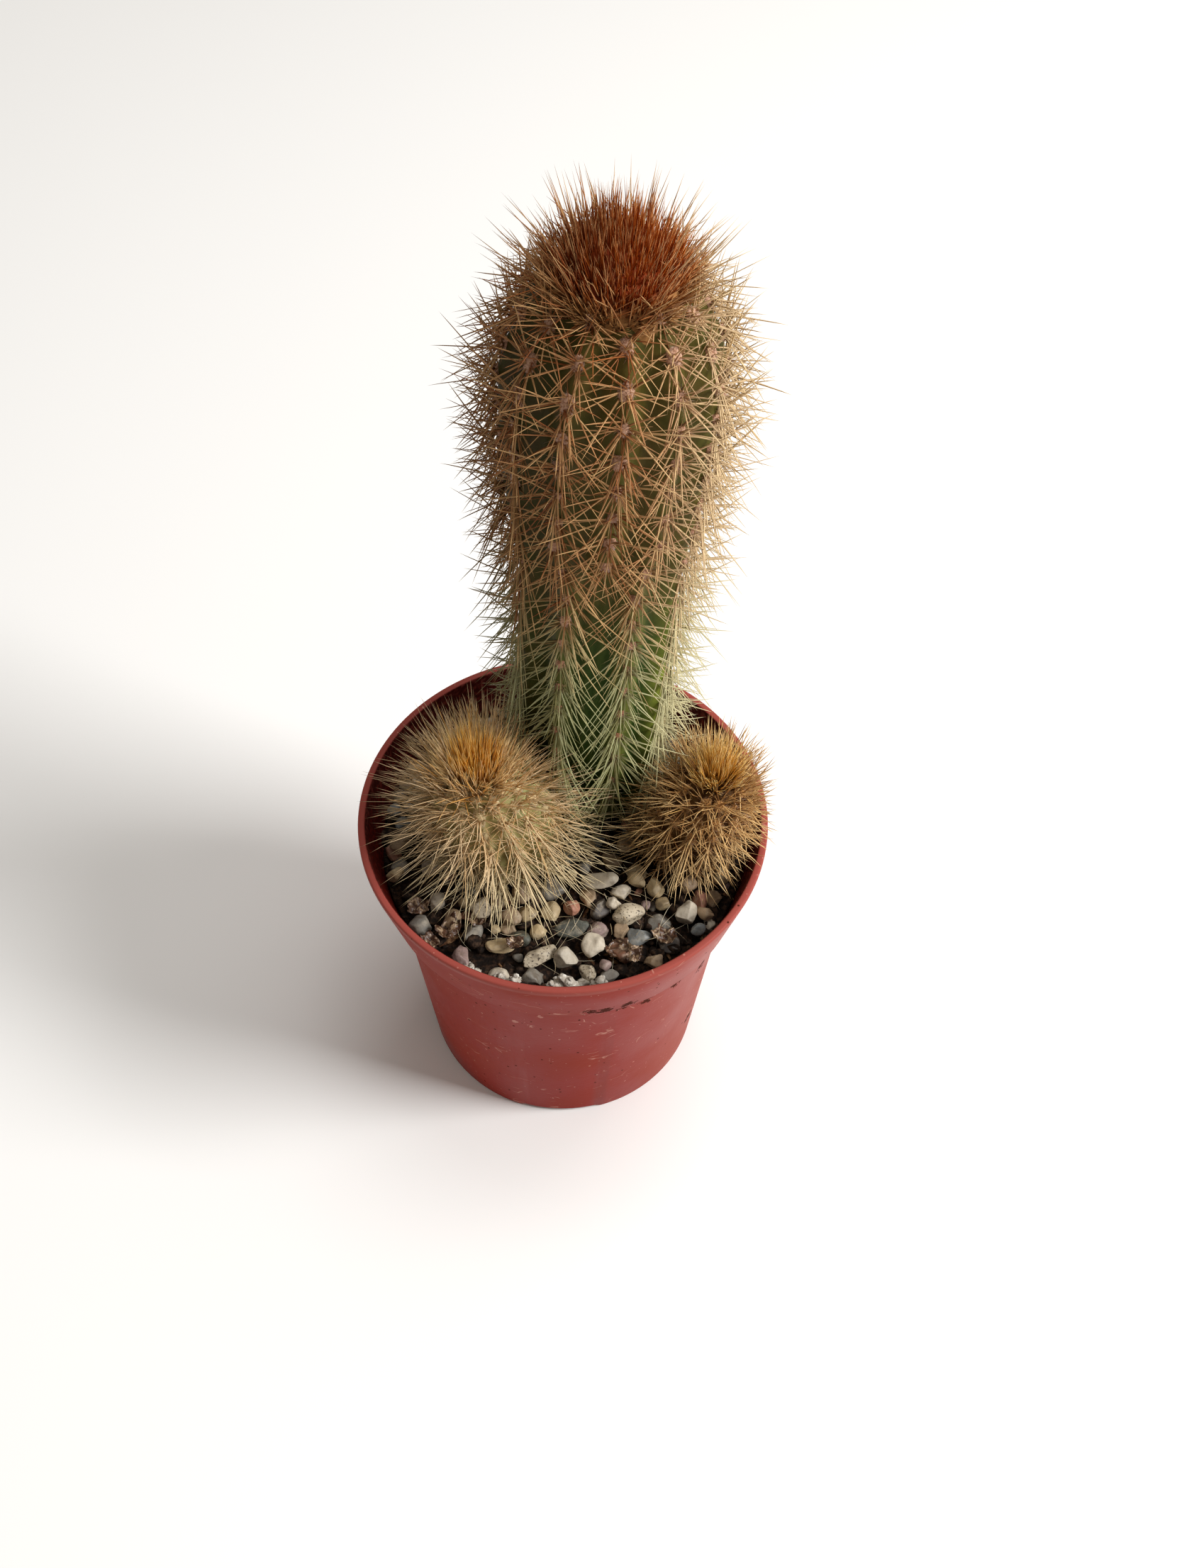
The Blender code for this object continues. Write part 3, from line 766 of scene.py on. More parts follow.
@dataclass(frozen=True)
class Stem:
    """One ribbed stem. Heights are above the soil, and radii are those of the rib crests."""

    name: str
    foot: Span
    top: Span
    height: float
    socket_depth: float
    foot_radius: float
    waist_radius: float
    shoulder_radius: float
    flare: float
    swell_from: float
    shoulder: float
    ribs: int
    rib_depth: float
    first_rib: float
    areole_spacing: float
    lowest_areole: float
    upper_spacing: float
    highest_areole: float
    dome_power: float = 2.0
    twist: float = 0.0
    late_rib_width: float = 1.0
    rib_starts: Mapping[int, float] = field(default_factory=dict)
    soil_level: float = 50 * MM
    rib_growth: float = 9 * MM
    fade_at_foot: float = 6 * MM
    fade_at_tip: float = 14 * MM
    weakest_spiny_rib: float = 0.3

    def radius(self, height: Any) -> Any:
        """Gives the crest radius: a narrow foot, a waist, a swelling and an elliptical dome.

        Args:
            height: A height or an array of them.

        Returns:
            The radius or radii.
        """
        flare = np.exp(-np.maximum(height, 0.0) / self.flare)
        foot = (self.waist_radius - self.foot_radius) * flare
        swell = smooth((height - self.swell_from) / (self.shoulder - self.swell_from))
        below = self.waist_radius - foot + (self.shoulder_radius - self.waist_radius) * swell
        t = np.clip((height - self.shoulder) / (self.height - self.shoulder), 0.0, 1.0)
        dome = self.shoulder_radius * (1 - t**self.dome_power) ** (1 / self.dome_power)
        return np.where(height < self.shoulder, below, dome)

    def centre(self, height: Any) -> Array:
        """Gives the middle of the stem, on an axis that curves gently from foot to top.

        Args:
            height: A height or an array of them.

        Returns:
            One point, or a row for each height.
        """
        t = np.maximum(0.0, np.asarray(height) / self.height) ** 1.5
        x = lerp(self.foot[0], self.top[0], t)
        y = lerp(self.foot[1], self.top[1], t)
        return np.stack([x, y, self.soil_level + np.asarray(height)], axis=-1)

    def rib_strength(self, rib: int, height: float) -> float:
        """Returns 0 where a rib hasn't begun yet, and 1 where it is full."""
        start = self.rib_starts.get(rib % self.ribs)
        return 1.0 if start is None else float(smooth((height - start) / self.rib_growth))

    def rib_angles(self, height: float) -> list[float]:
        """Gives the ribs' directions. Late ribs push their neighbours apart as they grow.

        Args:
            height: The height.

        Returns:
            One angle for each rib, and the first one's again, a turn on.
        """
        strengths = [self.rib_strength(rib, height) for rib in range(self.ribs)]
        widths = [lerp(self.late_rib_width, 1.0, strength) for strength in strengths]
        share = TURN / sum(widths)
        angles = [self.first_rib + self.twist * height / self.height]
        for rib in range(1, self.ribs):
            angles.append(angles[-1] + share * (widths[rib - 1] + widths[rib]) / 2)
        return [*angles, angles[0] + TURN]

    def depth(self, height: float) -> float:
        """Returns how deep the furrows are: none at the foot and at the very top."""
        at_foot = smooth(height / self.fade_at_foot)
        return self.rib_depth * at_foot * smooth((self.height - height) / self.fade_at_tip)

    def slope(self, height: float) -> float:
        """Returns how fast the crest radius grows with height."""
        step = 0.2 * MM
        return float(self.radius(height + step) - self.radius(height - step)) / (2 * step)

    def areoles(self) -> list[tuple[int, float]]:
        """Lists the spine cushions, staggered from rib to rib and closer on the dome.

        Returns:
            Rib number and height of each.
        """
        found = []
        for rib in range(self.ribs):
            height = self.lowest_areole + (self.areole_spacing / 2 if rib % 2 else 0.0)
            while height < self.highest_areole:
                if self.rib_strength(rib, height) > self.weakest_spiny_rib:
                    found.append((rib, height))
                spacing = lerp(self.areole_spacing, self.upper_spacing, height / self.height)
                height += spacing / math.sqrt(1 + self.slope(height) ** 2)
        return found

    def dome_level(self, away: Array) -> Array:
        """Returns the dome's height above the soil at each distance from its middle."""
        share = (1 - (away / self.shoulder_radius) ** self.dome_power) ** (1 / self.dome_power)
        return self.shoulder + (self.height - self.shoulder) * share

    def sites(self) -> Sites:
        """Gives the spine cushions' places and directions.

        Returns:
            The sites, one row for each areole.
        """
        rows: list[list[Any]] = [[], [], [], [], []]
        for rib, height in self.areoles():
            angle = self.rib_angles(height)[rib]
            sunk = self.depth(height) * (1 - self.rib_strength(rib, height))
            flat = np.array([math.cos(angle), math.sin(angle), 0.0])
            side = np.array([-math.sin(angle), math.cos(angle), 0.0])
            outward = unit(flat - np.array([0.0, 0.0, self.slope(height)]))
            place = self.centre(height) + flat * (self.radius(height) - sunk)
            values = (place, outward, np.cross(outward, side), side, height / self.height)
            for row, value in zip(rows, values):
                row.append(value)
        return Sites(*(np.array(row) for row in rows))


TALL = Stem(
    name="tall", foot=(4.5 * MM, 13.0 * MM), top=(6.3 * MM, 9.6 * MM), height=106.3 * MM,
    socket_depth=9.0 * MM, foot_radius=8.8 * MM, waist_radius=11.6 * MM,
    shoulder_radius=14.1 * MM, flare=7.0 * MM, swell_from=30.0 * MM, shoulder=88.5 * MM, ribs=12,
    rib_depth=2.0 * MM, first_rib=FRONT - math.radians(11.0), areole_spacing=5.8 * MM,
    lowest_areole=6.5 * MM, upper_spacing=4.7 * MM, highest_areole=103.0 * MM, dome_power=1.8,
    twist=math.radians(19.5), late_rib_width=0.1,
    rib_starts={0: 60 * MM, 3: 62 * MM, 6: 46 * MM, 9: 55 * MM},
)
LEFT = Stem(
    name="left", foot=(-9.0 * MM, -1.2 * MM), top=(-13.4 * MM, -2.2 * MM), height=22.5 * MM,
    socket_depth=6.0 * MM, foot_radius=7.0 * MM, waist_radius=9.2 * MM, shoulder_radius=9.4 * MM,
    flare=3.0 * MM, swell_from=4.0 * MM, shoulder=11.5 * MM, ribs=15, rib_depth=0.8 * MM,
    first_rib=FRONT, areole_spacing=3.5 * MM, lowest_areole=3.4 * MM, upper_spacing=2.7 * MM,
    highest_areole=21.4 * MM,
)
RIGHT = Stem(
    name="right", foot=(19.8 * MM, -0.9 * MM), top=(23.6 * MM, -0.4 * MM), height=19.5 * MM,
    socket_depth=5.5 * MM, foot_radius=5.4 * MM, waist_radius=6.9 * MM, shoulder_radius=7.1 * MM,
    flare=3.0 * MM, swell_from=4.0 * MM, shoulder=10.5 * MM, ribs=13, rib_depth=0.7 * MM,
    first_rib=FRONT + math.radians(12), areole_spacing=3.2 * MM, lowest_areole=3.4 * MM,
    upper_spacing=2.5 * MM, highest_areole=18.4 * MM,
)
STEMS = (TALL, LEFT, RIGHT)
# A side past the plant, for a finish that has no shade of its own.
PAST_PLANT = (-30 * MM, -40 * MM)


@dataclass
class Pot:
    """The nursery pot: collar, rounded lip, tapered body, notched foot ring and drain holes."""

    height: float = 58.0 * MM
    rim_radius: float = 32.5 * MM
    collar_height: float = 12.5 * MM
    lip_height: float = 0.8 * MM
    collar_foot_radius: float = 29.7 * MM
    body_top_radius: float = 27.9 * MM
    foot_radius: float = 23.8 * MM
    wall: float = 1.15 * MM
    floor_underside: float = 1.2 * MM
    floor_top: float = 2.4 * MM
    foot_ring_width: float = 1.7 * MM
    notches: int = 4
    notch_height: float = 0.9 * MM
    notch_width: float = 12.5 * MM
    drain_radius: float = 1.9 * MM
    drain_circle_radius: float = 16.0 * MM
    corner_radius: float = 0.33 * MM
    sharpest: float = math.radians(20)
    crease: float = math.radians(50)
    steps: int = 144
    stains: tuple[Span, ...] = (
        (9.5, 47.3), (14.0, 46.7), (20.9, 47.0), (22.0, 42.0), (29.5, 40.6), (42.8, 40.0),
        (58.0, 35.0), (62.6, 13.0),
    )
    crusts: tuple[Span, ...] = ((-6.4, 41.1), (-15.2, 37.2))

    def inner_radius(self, height: Any) -> Any:
        """Gives the inside radius of the wall.

        Args:
            height: A height above the ground, or an array of them.

        Returns:
            The radius or radii.
        """
        step = self.height - self.collar_height + self.wall
        up_body = (height - self.floor_top) / (step - self.floor_top)
        up_collar = (height - step) / (self.height - step)
        low = lerp(self.foot_radius, self.body_top_radius, up_body)
        high = lerp(self.collar_foot_radius, self.rim_radius, up_collar)
        return np.where(height < step, low, high) - self.wall

    def profile(self) -> list[tuple[float, float]]:
        """Lists the wall's outline as (radius, height), from the floor's underside to its top."""
        collar_foot = self.height - self.collar_height
        step = collar_foot + self.wall
        foot_inside = self.foot_radius - self.foot_ring_width
        return [
            (0, self.floor_underside),
            (self.drain_circle_radius, self.floor_underside),
            (foot_inside, self.floor_underside),
            (foot_inside, 0),
            (self.foot_radius, 0),
            (self.body_top_radius, collar_foot),
            (self.collar_foot_radius, collar_foot),
            (self.rim_radius, self.height - self.lip_height),
            (self.rim_radius, self.height),
            (self.rim_radius - self.wall, self.height),
            (float(self.inner_radius(step)), step),
            (float(self.inner_radius(step - 0.01 * MM)), step),
            (float(self.inner_radius(self.floor_top)), self.floor_top),
            (self.drain_circle_radius, self.floor_top),
            (0, self.floor_top),
        ]

    def build(self) -> bmesh.types.BMesh:
        """Spins the outline, rounds its corners and raises the notches.

        Returns:
            The pot without its drain holes.
        """
        bm = spun(self.profile(), self.steps)
        bmesh.ops.recalc_face_normals(bm, faces=bm.faces)
        self.round_corners(bm)
        self.raise_notches(bm)
        return bm

    def round_corners(self, bm: bmesh.types.BMesh) -> None:
        """Bevels every ring where the outline turns.

        Args:
            bm: The spun pot.
        """
        rings = []
        for edge in bm.edges:
            one, other = (vert.co for vert in edge.verts)
            ring = max(abs(one.z - other.z), abs(one.xy.length - other.xy.length)) < WELD
            if ring and len(edge.link_faces) == 2 and edge.calc_face_angle(0) > self.sharpest:
                rings.append(edge)
        shape = {"segments": 3, "profile": 0.5, "affect": "EDGES", "material": -1}
        bmesh.ops.bevel(bm, geom=rings, offset=self.corner_radius, **shape)

    def raise_notches(self, bm: bmesh.types.BMesh) -> None:
        """Lifts the foot ring's underside at the notches.

        Args:
            bm: The pot.
        """
        half = self.notch_width / 2 / self.foot_radius
        pitch = TURN / self.notches
        within = self.foot_radius - 2 * self.foot_ring_width
        for vert in bm.verts:
            angle = math.atan2(vert.co.y, vert.co.x) - FRONT
            away = abs((angle + pitch / 2) % pitch - pitch / 2)
            if away < half and vert.co.xy.length >= within:
                vert.co.z = max(vert.co.z, self.notch_height)

    def drains(self) -> list[tuple[float, float]]:
        """Lists the drain holes' middles: one in the centre, and one behind each notch."""
        angles = [FRONT + TURN * n / self.notches for n in range(self.notches)]
        return [(0.0, 0.0)] + [around(angle, self.drain_circle_radius) for angle in angles]

    def cut_drains(self, pot: bpy.types.Object) -> None:
        """Cuts the drain holes through the floor.

        Args:
            pot: The pot, whose mesh is changed.
        """
        bm = bmesh.new()
        size = {"radius1": self.drain_radius, "radius2": self.drain_radius, "cap_ends": True}
        for x, y in self.drains():
            spot = Matrix.Translation((x, y, self.floor_underside))
            bmesh.ops.create_cone(bm, segments=32, depth=3 * self.floor_top, matrix=spot, **size)
        cutter = link_object("drain_cutter", mesh_from(bm))
        modifier = pot.modifiers.new("Drains", "BOOLEAN")
        modifier.operation = "DIFFERENCE"
        modifier.object = cutter
        modifier.solver = "EXACT"
        bpy.context.view_layer.update()
        evaluated = pot.evaluated_get(bpy.context.evaluated_depsgraph_get())
        pot.data = bpy.data.meshes.new_from_object(evaluated)
        pot.modifiers.clear()
        pot.data.set_sharp_from_angle(angle=self.crease)
        bpy.data.objects.remove(cutter, do_unlink=True)

    def mark_inside(self, mesh: bpy.types.Mesh) -> None:
        """Marks the inner faces, so that the plastic is darker there, with dirt and painted shade.

        Args:
            mesh: The pot's mesh.
        """
        x, y, z = points_of(mesh).T
        past = self.inner_radius(np.maximum(z, self.floor_top)) + 0.12 * MM - np.hypot(x, y)
        inside = (past > 0) & (z > self.floor_top - WELD)
        add_values(mesh, "inside", inside)

    def outer_radius(self, height: float) -> float:
        """Returns the outside radius of the body or the collar."""
        collar_foot = self.height - self.collar_height
        if height < collar_foot:
            return lerp(self.foot_radius, self.body_top_radius, height / collar_foot)
        up = (height - collar_foot) / self.collar_height
        return lerp(self.collar_foot_radius, self.rim_radius, up)

    def outside(self, spots: Sequence[Span]) -> tuple[Point, ...]:
        """Gives points on the outside.

        Args:
            spots: Each one's angle from the front in degrees and its height in millimetres.

        Returns:
            The points.
        """
        places = [(FRONT + math.radians(degrees), height * MM) for degrees, height in spots]
        return tuple((*around(angle, self.outer_radius(level)), level) for angle, level in places)

    def dress(self) -> None:
        """Adds the pot to the scene in its plastic."""
        marks = {"stains": self.outside(self.stains), "crusts": self.outside(self.crusts)}
        plastic = MouldedPolypropylene("moulded_polypropylene", **marks).make()
        pot = add_piece("nursery_pot", self.build(), plastic, "pot_plastic", "pot")
        self.cut_drains(pot)
        self.mark_inside(pot.data)


def round_cube() -> bpy.types.Mesh:
    """Makes a ball of 24 faces, for shapes that are repeated often: a divided and blown up cube.

    Returns:
        Its mesh.
    """
    bm = bmesh.new()
    bmesh.ops.create_cube(bm, size=2.0)
    bmesh.ops.subdivide_edges(bm, edges=bm.edges[:], cuts=1, use_grid_fill=True)
    for vert in bm.verts:
        vert.co.normalize()
    return mesh_from(bm)


def add_copy(bm: bmesh.types.BMesh, mesh: bpy.types.Mesh) -> list[bmesh.types.BMVert]:
    """Adds a copy of a mesh.

    Args:
        bm: The bmesh that it goes into.
        mesh: The mesh.

    Returns:
        The copy's vertices.
    """
    done = len(bm.verts)
    bm.from_mesh(mesh)
    bm.verts.ensure_lookup_table()
    return bm.verts[done:]


def add_lump(
    bm: bmesh.types.BMesh,
    place: Matrix,
    ball: int | bpy.types.Mesh,
    bumps: float,
    seat: Vector,
    cuts: Sequence[tuple[Vector, float]] = (),
) -> list[bmesh.types.BMVert]:
    """Adds a lumpy ball, flattened where planes pass through it.

    Args:
        bm: The bmesh that it goes into.
        place: Its size, turn and place.
        ball: A ball to copy, or how often a new one is divided.
        bumps: How high the lumps stand, for a radius of 1.
        seat: Where in the noise the ball sits, so that each is different.
        cuts: Each plane's normal and its distance from the middle.

    Returns:
        Its vertices.
    """
    if isinstance(ball, bpy.types.Mesh):
        made = add_copy(bm, ball)
    else:
        made = bmesh.ops.create_icosphere(bm, subdivisions=ball, radius=1.0)["verts"]
    for vert in made:
        for normal, away in cuts:
            past = vert.co.dot(normal) - away
            if past > 0:
                vert.co -= normal * past
    every_way = {"use_axis_x": True, "use_axis_y": True, "use_axis_z": True}
    for _ in range(2 if cuts else 0):
        bmesh.ops.smooth_vert(bm, verts=made, factor=0.35, **every_way)
    for vert in made:
        broad, fine = (noise.noise(vert.co * pitch + seat) for pitch in (1.3, 3.4))
        vert.co *= 1 + bumps * (broad + 0.4 * fine)
    bmesh.ops.transform(bm, matrix=place, verts=made)
    return made


@dataclass
class Peat:
    """The potting soil: a plug that fills the pot, with a crumbly top."""

    pot: Pot
    level: float = 50.0 * MM
    gap: float = 0.3 * MM
    rings: int = 40
    steps: int = 144
    relief: float = 1.5 * MM

    def surface(self, x: float, y: float) -> float:
        """Returns the height of the soil's top, with broad swells, clods and crumbs."""
        broad = noise.noise(Vector((x, y, 0)) / (11 * MM))
        fine = noise.fractal(Vector((x, y, 3 * MM)) / (2.6 * MM), 0.5, 2.0, 5)
        return self.level + self.relief * (0.3 * broad + 0.5 * fine)

    def build(self) -> bmesh.types.BMesh:
        """Spins the plug and roughens its top.

        Returns:
            The plug.
        """
        step = self.pot.height - self.pot.collar_height + self.pot.wall + self.gap
        floor = self.pot.floor_top + self.gap
        levels = np.array([floor, step - 2 * self.gap, step, self.level])
        *wall, top = (self.pot.inner_radius(levels) - self.gap).tolist()
        outline = [(0, floor), *zip(wall, (floor, step, step))]
        outline += [(top * (1 - n / self.rings), self.level) for n in range(self.rings + 1)]
        bm = spun(outline, self.steps)
        for vert in bm.verts:
            if vert.co.z > self.level - WELD:
                vert.co.z = self.surface(vert.co.x, vert.co.y)
        return bm

    def dress(self) -> None:
        """Adds the soil."""
        peat = LooseGround("damp_peat", "#100804", "#38261A").make()
        add_piece("peat_plug", self.build(), peat, "peat", "soil")


@dataclass(frozen=True)
class Litter:
    """Small bits on the soil, such as crumbs, bark or grit, all over it or round a few spots."""

    name: str
    finish: Finish
    count: int
    radii: Span
    stretch: Span
    spots: Sequence[Span] = ()
    spread: float = 1.0 * MM
    heap: float = 0.0
    seed: int = 3

    def place(self, draw: np.random.Generator, pot: Pot, peat: Peat) -> Span:
        """Draws a bit's place inside the pot's wall.

        Args:
            draw: The draw.
            pot: The pot.
            peat: The soil.

        Returns:
            The place.
        """
        reach = float(pot.inner_radius(peat.level + 1 * MM)) - 0.7 * MM
        angle, away = draw.uniform(0, TURN), reach * math.sqrt(draw.uniform())
        x, y = around(angle, away)
        if self.spots:
            near = self.spots[draw.integers(len(self.spots))]
            x, y = (value * MM + draw.normal(0, self.spread) for value in near)
        shrink = min(1.0, reach / math.hypot(x, y))
        return x * shrink, y * shrink

    def build(self, pot: Pot, peat: Peat) -> bmesh.types.BMesh:
        """Strews the bits.

        Args:
            pot: The pot that they lie in.
            peat: The soil that they lie on.

        Returns:
            All the bits.
        """
        draw = np.random.default_rng(self.seed)
        bm, ball = bmesh.new(), round_cube()
        for _ in range(self.count):
            x, y = self.place(draw, pot, peat)
            radius = lerp(*self.radii, draw.uniform() ** 2)
            size = Matrix.Diagonal((radius * draw.uniform(*self.stretch), radius, radius * 0.75, 1))
            turn = laid(draw.uniform(0, TURN), draw.normal(0, 0.4))
            gap = min((math.hypot(x - a * MM, y - b * MM) for a, b in self.spots), default=0.0)
            pile = self.heap * draw.uniform() * math.exp(-((gap / self.spread) ** 2) / 2)
            spot = Matrix.Translation((x, y, peat.surface(x, y) + 0.35 * radius + pile))
            add_lump(bm, spot @ turn @ size, ball, 0.5, Vector(draw.uniform(0, 90, 3)))
        return bm

    def dress(self, pot: Pot, peat: Peat, slot: str) -> None:
        """Adds the bits to the scene, with their finish."""
        add_piece(self.name, self.build(pot, peat), self.finish.make(), slot)


PUMICE_PILES = (
    (-14.2, -25.4), (-13.0, -26.2), (-9.4, -26.9), (-7.9, -27.6), (-6.6, -27.6), (-1.0, -27.8),
    (0.3, -27.4), (1.6, -27.6), (2.9, -28.0), (5.6, -27.9), (6.3, -27.6),
)


class Rock(Enum):
    """The kinds of stone in the gravel, each with its colour and how freckled it is."""

    QUARTZ = ("#C4B8A4", 0.1)
    CREAM = ("#B8A27C", 0.15)
    BEIGE = ("#A0876A", 0.3)
    SPECKLED = ("#B4A68E", 1.0)
    PINK = ("#A8745E", 0.3)
    ROSE_GREY = ("#86706A", 0.4)
    GREY = ("#807A70", 0.3)
    BLUE_GREY = ("#767A7A", 0.25)
    DARK = ("#48403A", 0.6)
    SLATE = ("#4A4C42", 0.4)
    RUST = ("#744A32", 0.5)
    PUMICE = ("#C2B8A8", 0.15)


@dataclass(frozen=True)
class Pebble:
    """One stone, in millimetres: its place, its half sizes and its turn and tip in degrees."""

    x: float
    y: float
    length: float
    width: float
    thick: float
    turn: float
    rock: Rock
    lift: float = 0.0
    tip: float = 0.0
    facets: int = 9


CHOSEN_PEBBLES = tuple(
    Pebble(*row)
    for row in (
        (6.0, -9.4, 3.3, 1.7, 0.7, -10, Rock.QUARTZ, 2.4, -22),
        (9.4, -10.9, 1.8, 1.5, 1.4, 20, Rock.QUARTZ, 0.9),
        (8.2, -13.1, 1.3, 1.1, 1.1, 0, Rock.QUARTZ, 1.6),
        (6.1, -13.2, 2.3, 1.9, 1.5, 40, Rock.DARK),
        (10.7, -14.9, 2.8, 2.0, 1.5, 4, Rock.SPECKLED, 1.0, 8),
        (15.2, -15.8, 2.0, 1.7, 1.3, 10, Rock.GREY),
        (19.5, -14.9, 2.0, 1.7, 2.3, 60, Rock.QUARTZ, 0.5, 30),
        (21.9, -11.9, 1.6, 2.1, 1.8, -20, Rock.PINK, 0.3),
        (24.1, -11.2, 1.3, 1.7, 1.3, 0, Rock.BEIGE),
        (14.8, -9.9, 1.5, 1.7, 1.5, 15, Rock.CREAM, 0.8),
        (12.2, -18.6, 2.0, 2.0, 1.4, 0, Rock.BLUE_GREY, 0.4),
        (16.9, -19.4, 2.2, 1.8, 1.2, -20, Rock.DARK),
        (9.4, -17.5, 1.6, 1.4, 1.2, 25, Rock.BEIGE, 0.4),
        (5.7, -17.2, 1.9, 1.5, 1.3, -15, Rock.ROSE_GREY),
        (5.2, -20.6, 2.1, 2.4, 1.9, -12, Rock.QUARTZ, 0.5),
        (9.3, -21.3, 1.8, 2.3, 1.4, 20, Rock.RUST, 0.3),
        (0.9, -23.0, 2.1, 2.0, 1.7, 15, Rock.QUARTZ, 0.3),
        (4.3, -25.0, 1.5, 1.5, 1.2, 0, Rock.SPECKLED, 0.6),
        (-3.1, -22.4, 3.2, 1.6, 1.3, 36, Rock.SPECKLED, 0.6, 8),
        (-3.4, -18.0, 1.4, 1.4, 1.2, 0, Rock.CREAM, 0.3),
        (-9.3, -20.5, 2.5, 1.5, 1.2, 12, Rock.CREAM, 0.4),
        (-13.6, -18.2, 1.5, 2.0, 1.4, -10, Rock.GREY),
        (-15.2, -23.0, 1.4, 2.5, 1.3, 6, Rock.ROSE_GREY, 0.4),
        (-4.0, -26.2, 2.2, 1.7, 1.4, 0, Rock.GREY, 0.4),
        (7.6, -25.6, 1.6, 1.3, 1.1, 0, Rock.GREY),
        (1.9, -16.8, 3.0, 1.7, 1.2, 8, Rock.SLATE),
        (1.6, -13.2, 1.4, 1.7, 1.2, 0, Rock.PINK, 0.3),
        (4.4, -11.4, 1.8, 2.0, 1.2, 10, Rock.BEIGE, 0.3),
        (-5.2, -14.9, 2.0, 1.8, 1.3, 12, Rock.CREAM, 0.2),
        (-1.6, -14.2, 1.6, 2.0, 1.2, 0, Rock.CREAM),
        (-19.4, -13.0, 1.8, 1.8, 1.3, 0, Rock.QUARTZ, 0.3),
        (-14.6, -14.9, 1.4, 1.2, 1.0, 0, Rock.RUST),
        (-21.9, -17.0, 2.0, 1.9, 1.4, 30, Rock.GREY),
        (14.5, -22.6, 1.8, 1.4, 1.2, 10, Rock.BEIGE),
        (-26.0, -6.2, 1.5, 1.7, 1.2, 0, Rock.GREY),
        (-27.2, -3.4, 1.3, 1.6, 1.1, 20, Rock.PINK),
        (-8.0, -17.2, 1.6, 1.3, 1.1, 0, Rock.BEIGE),
        (7.8, -4.2, 1.9, 1.6, 1.3, 20, Rock.BEIGE, 0.3),
        (11.6, -6.4, 2.0, 1.5, 1.2, -20, Rock.CREAM, 0.2),
        (0.9, -27.4, 1.7, 1.2, 1.1, -6, Rock.PUMICE, 0.6, 0, 4),
        (3.4, -27.2, 1.3, 1.0, 1.0, 20, Rock.PUMICE, 0.4, 0, 4),
    )
)


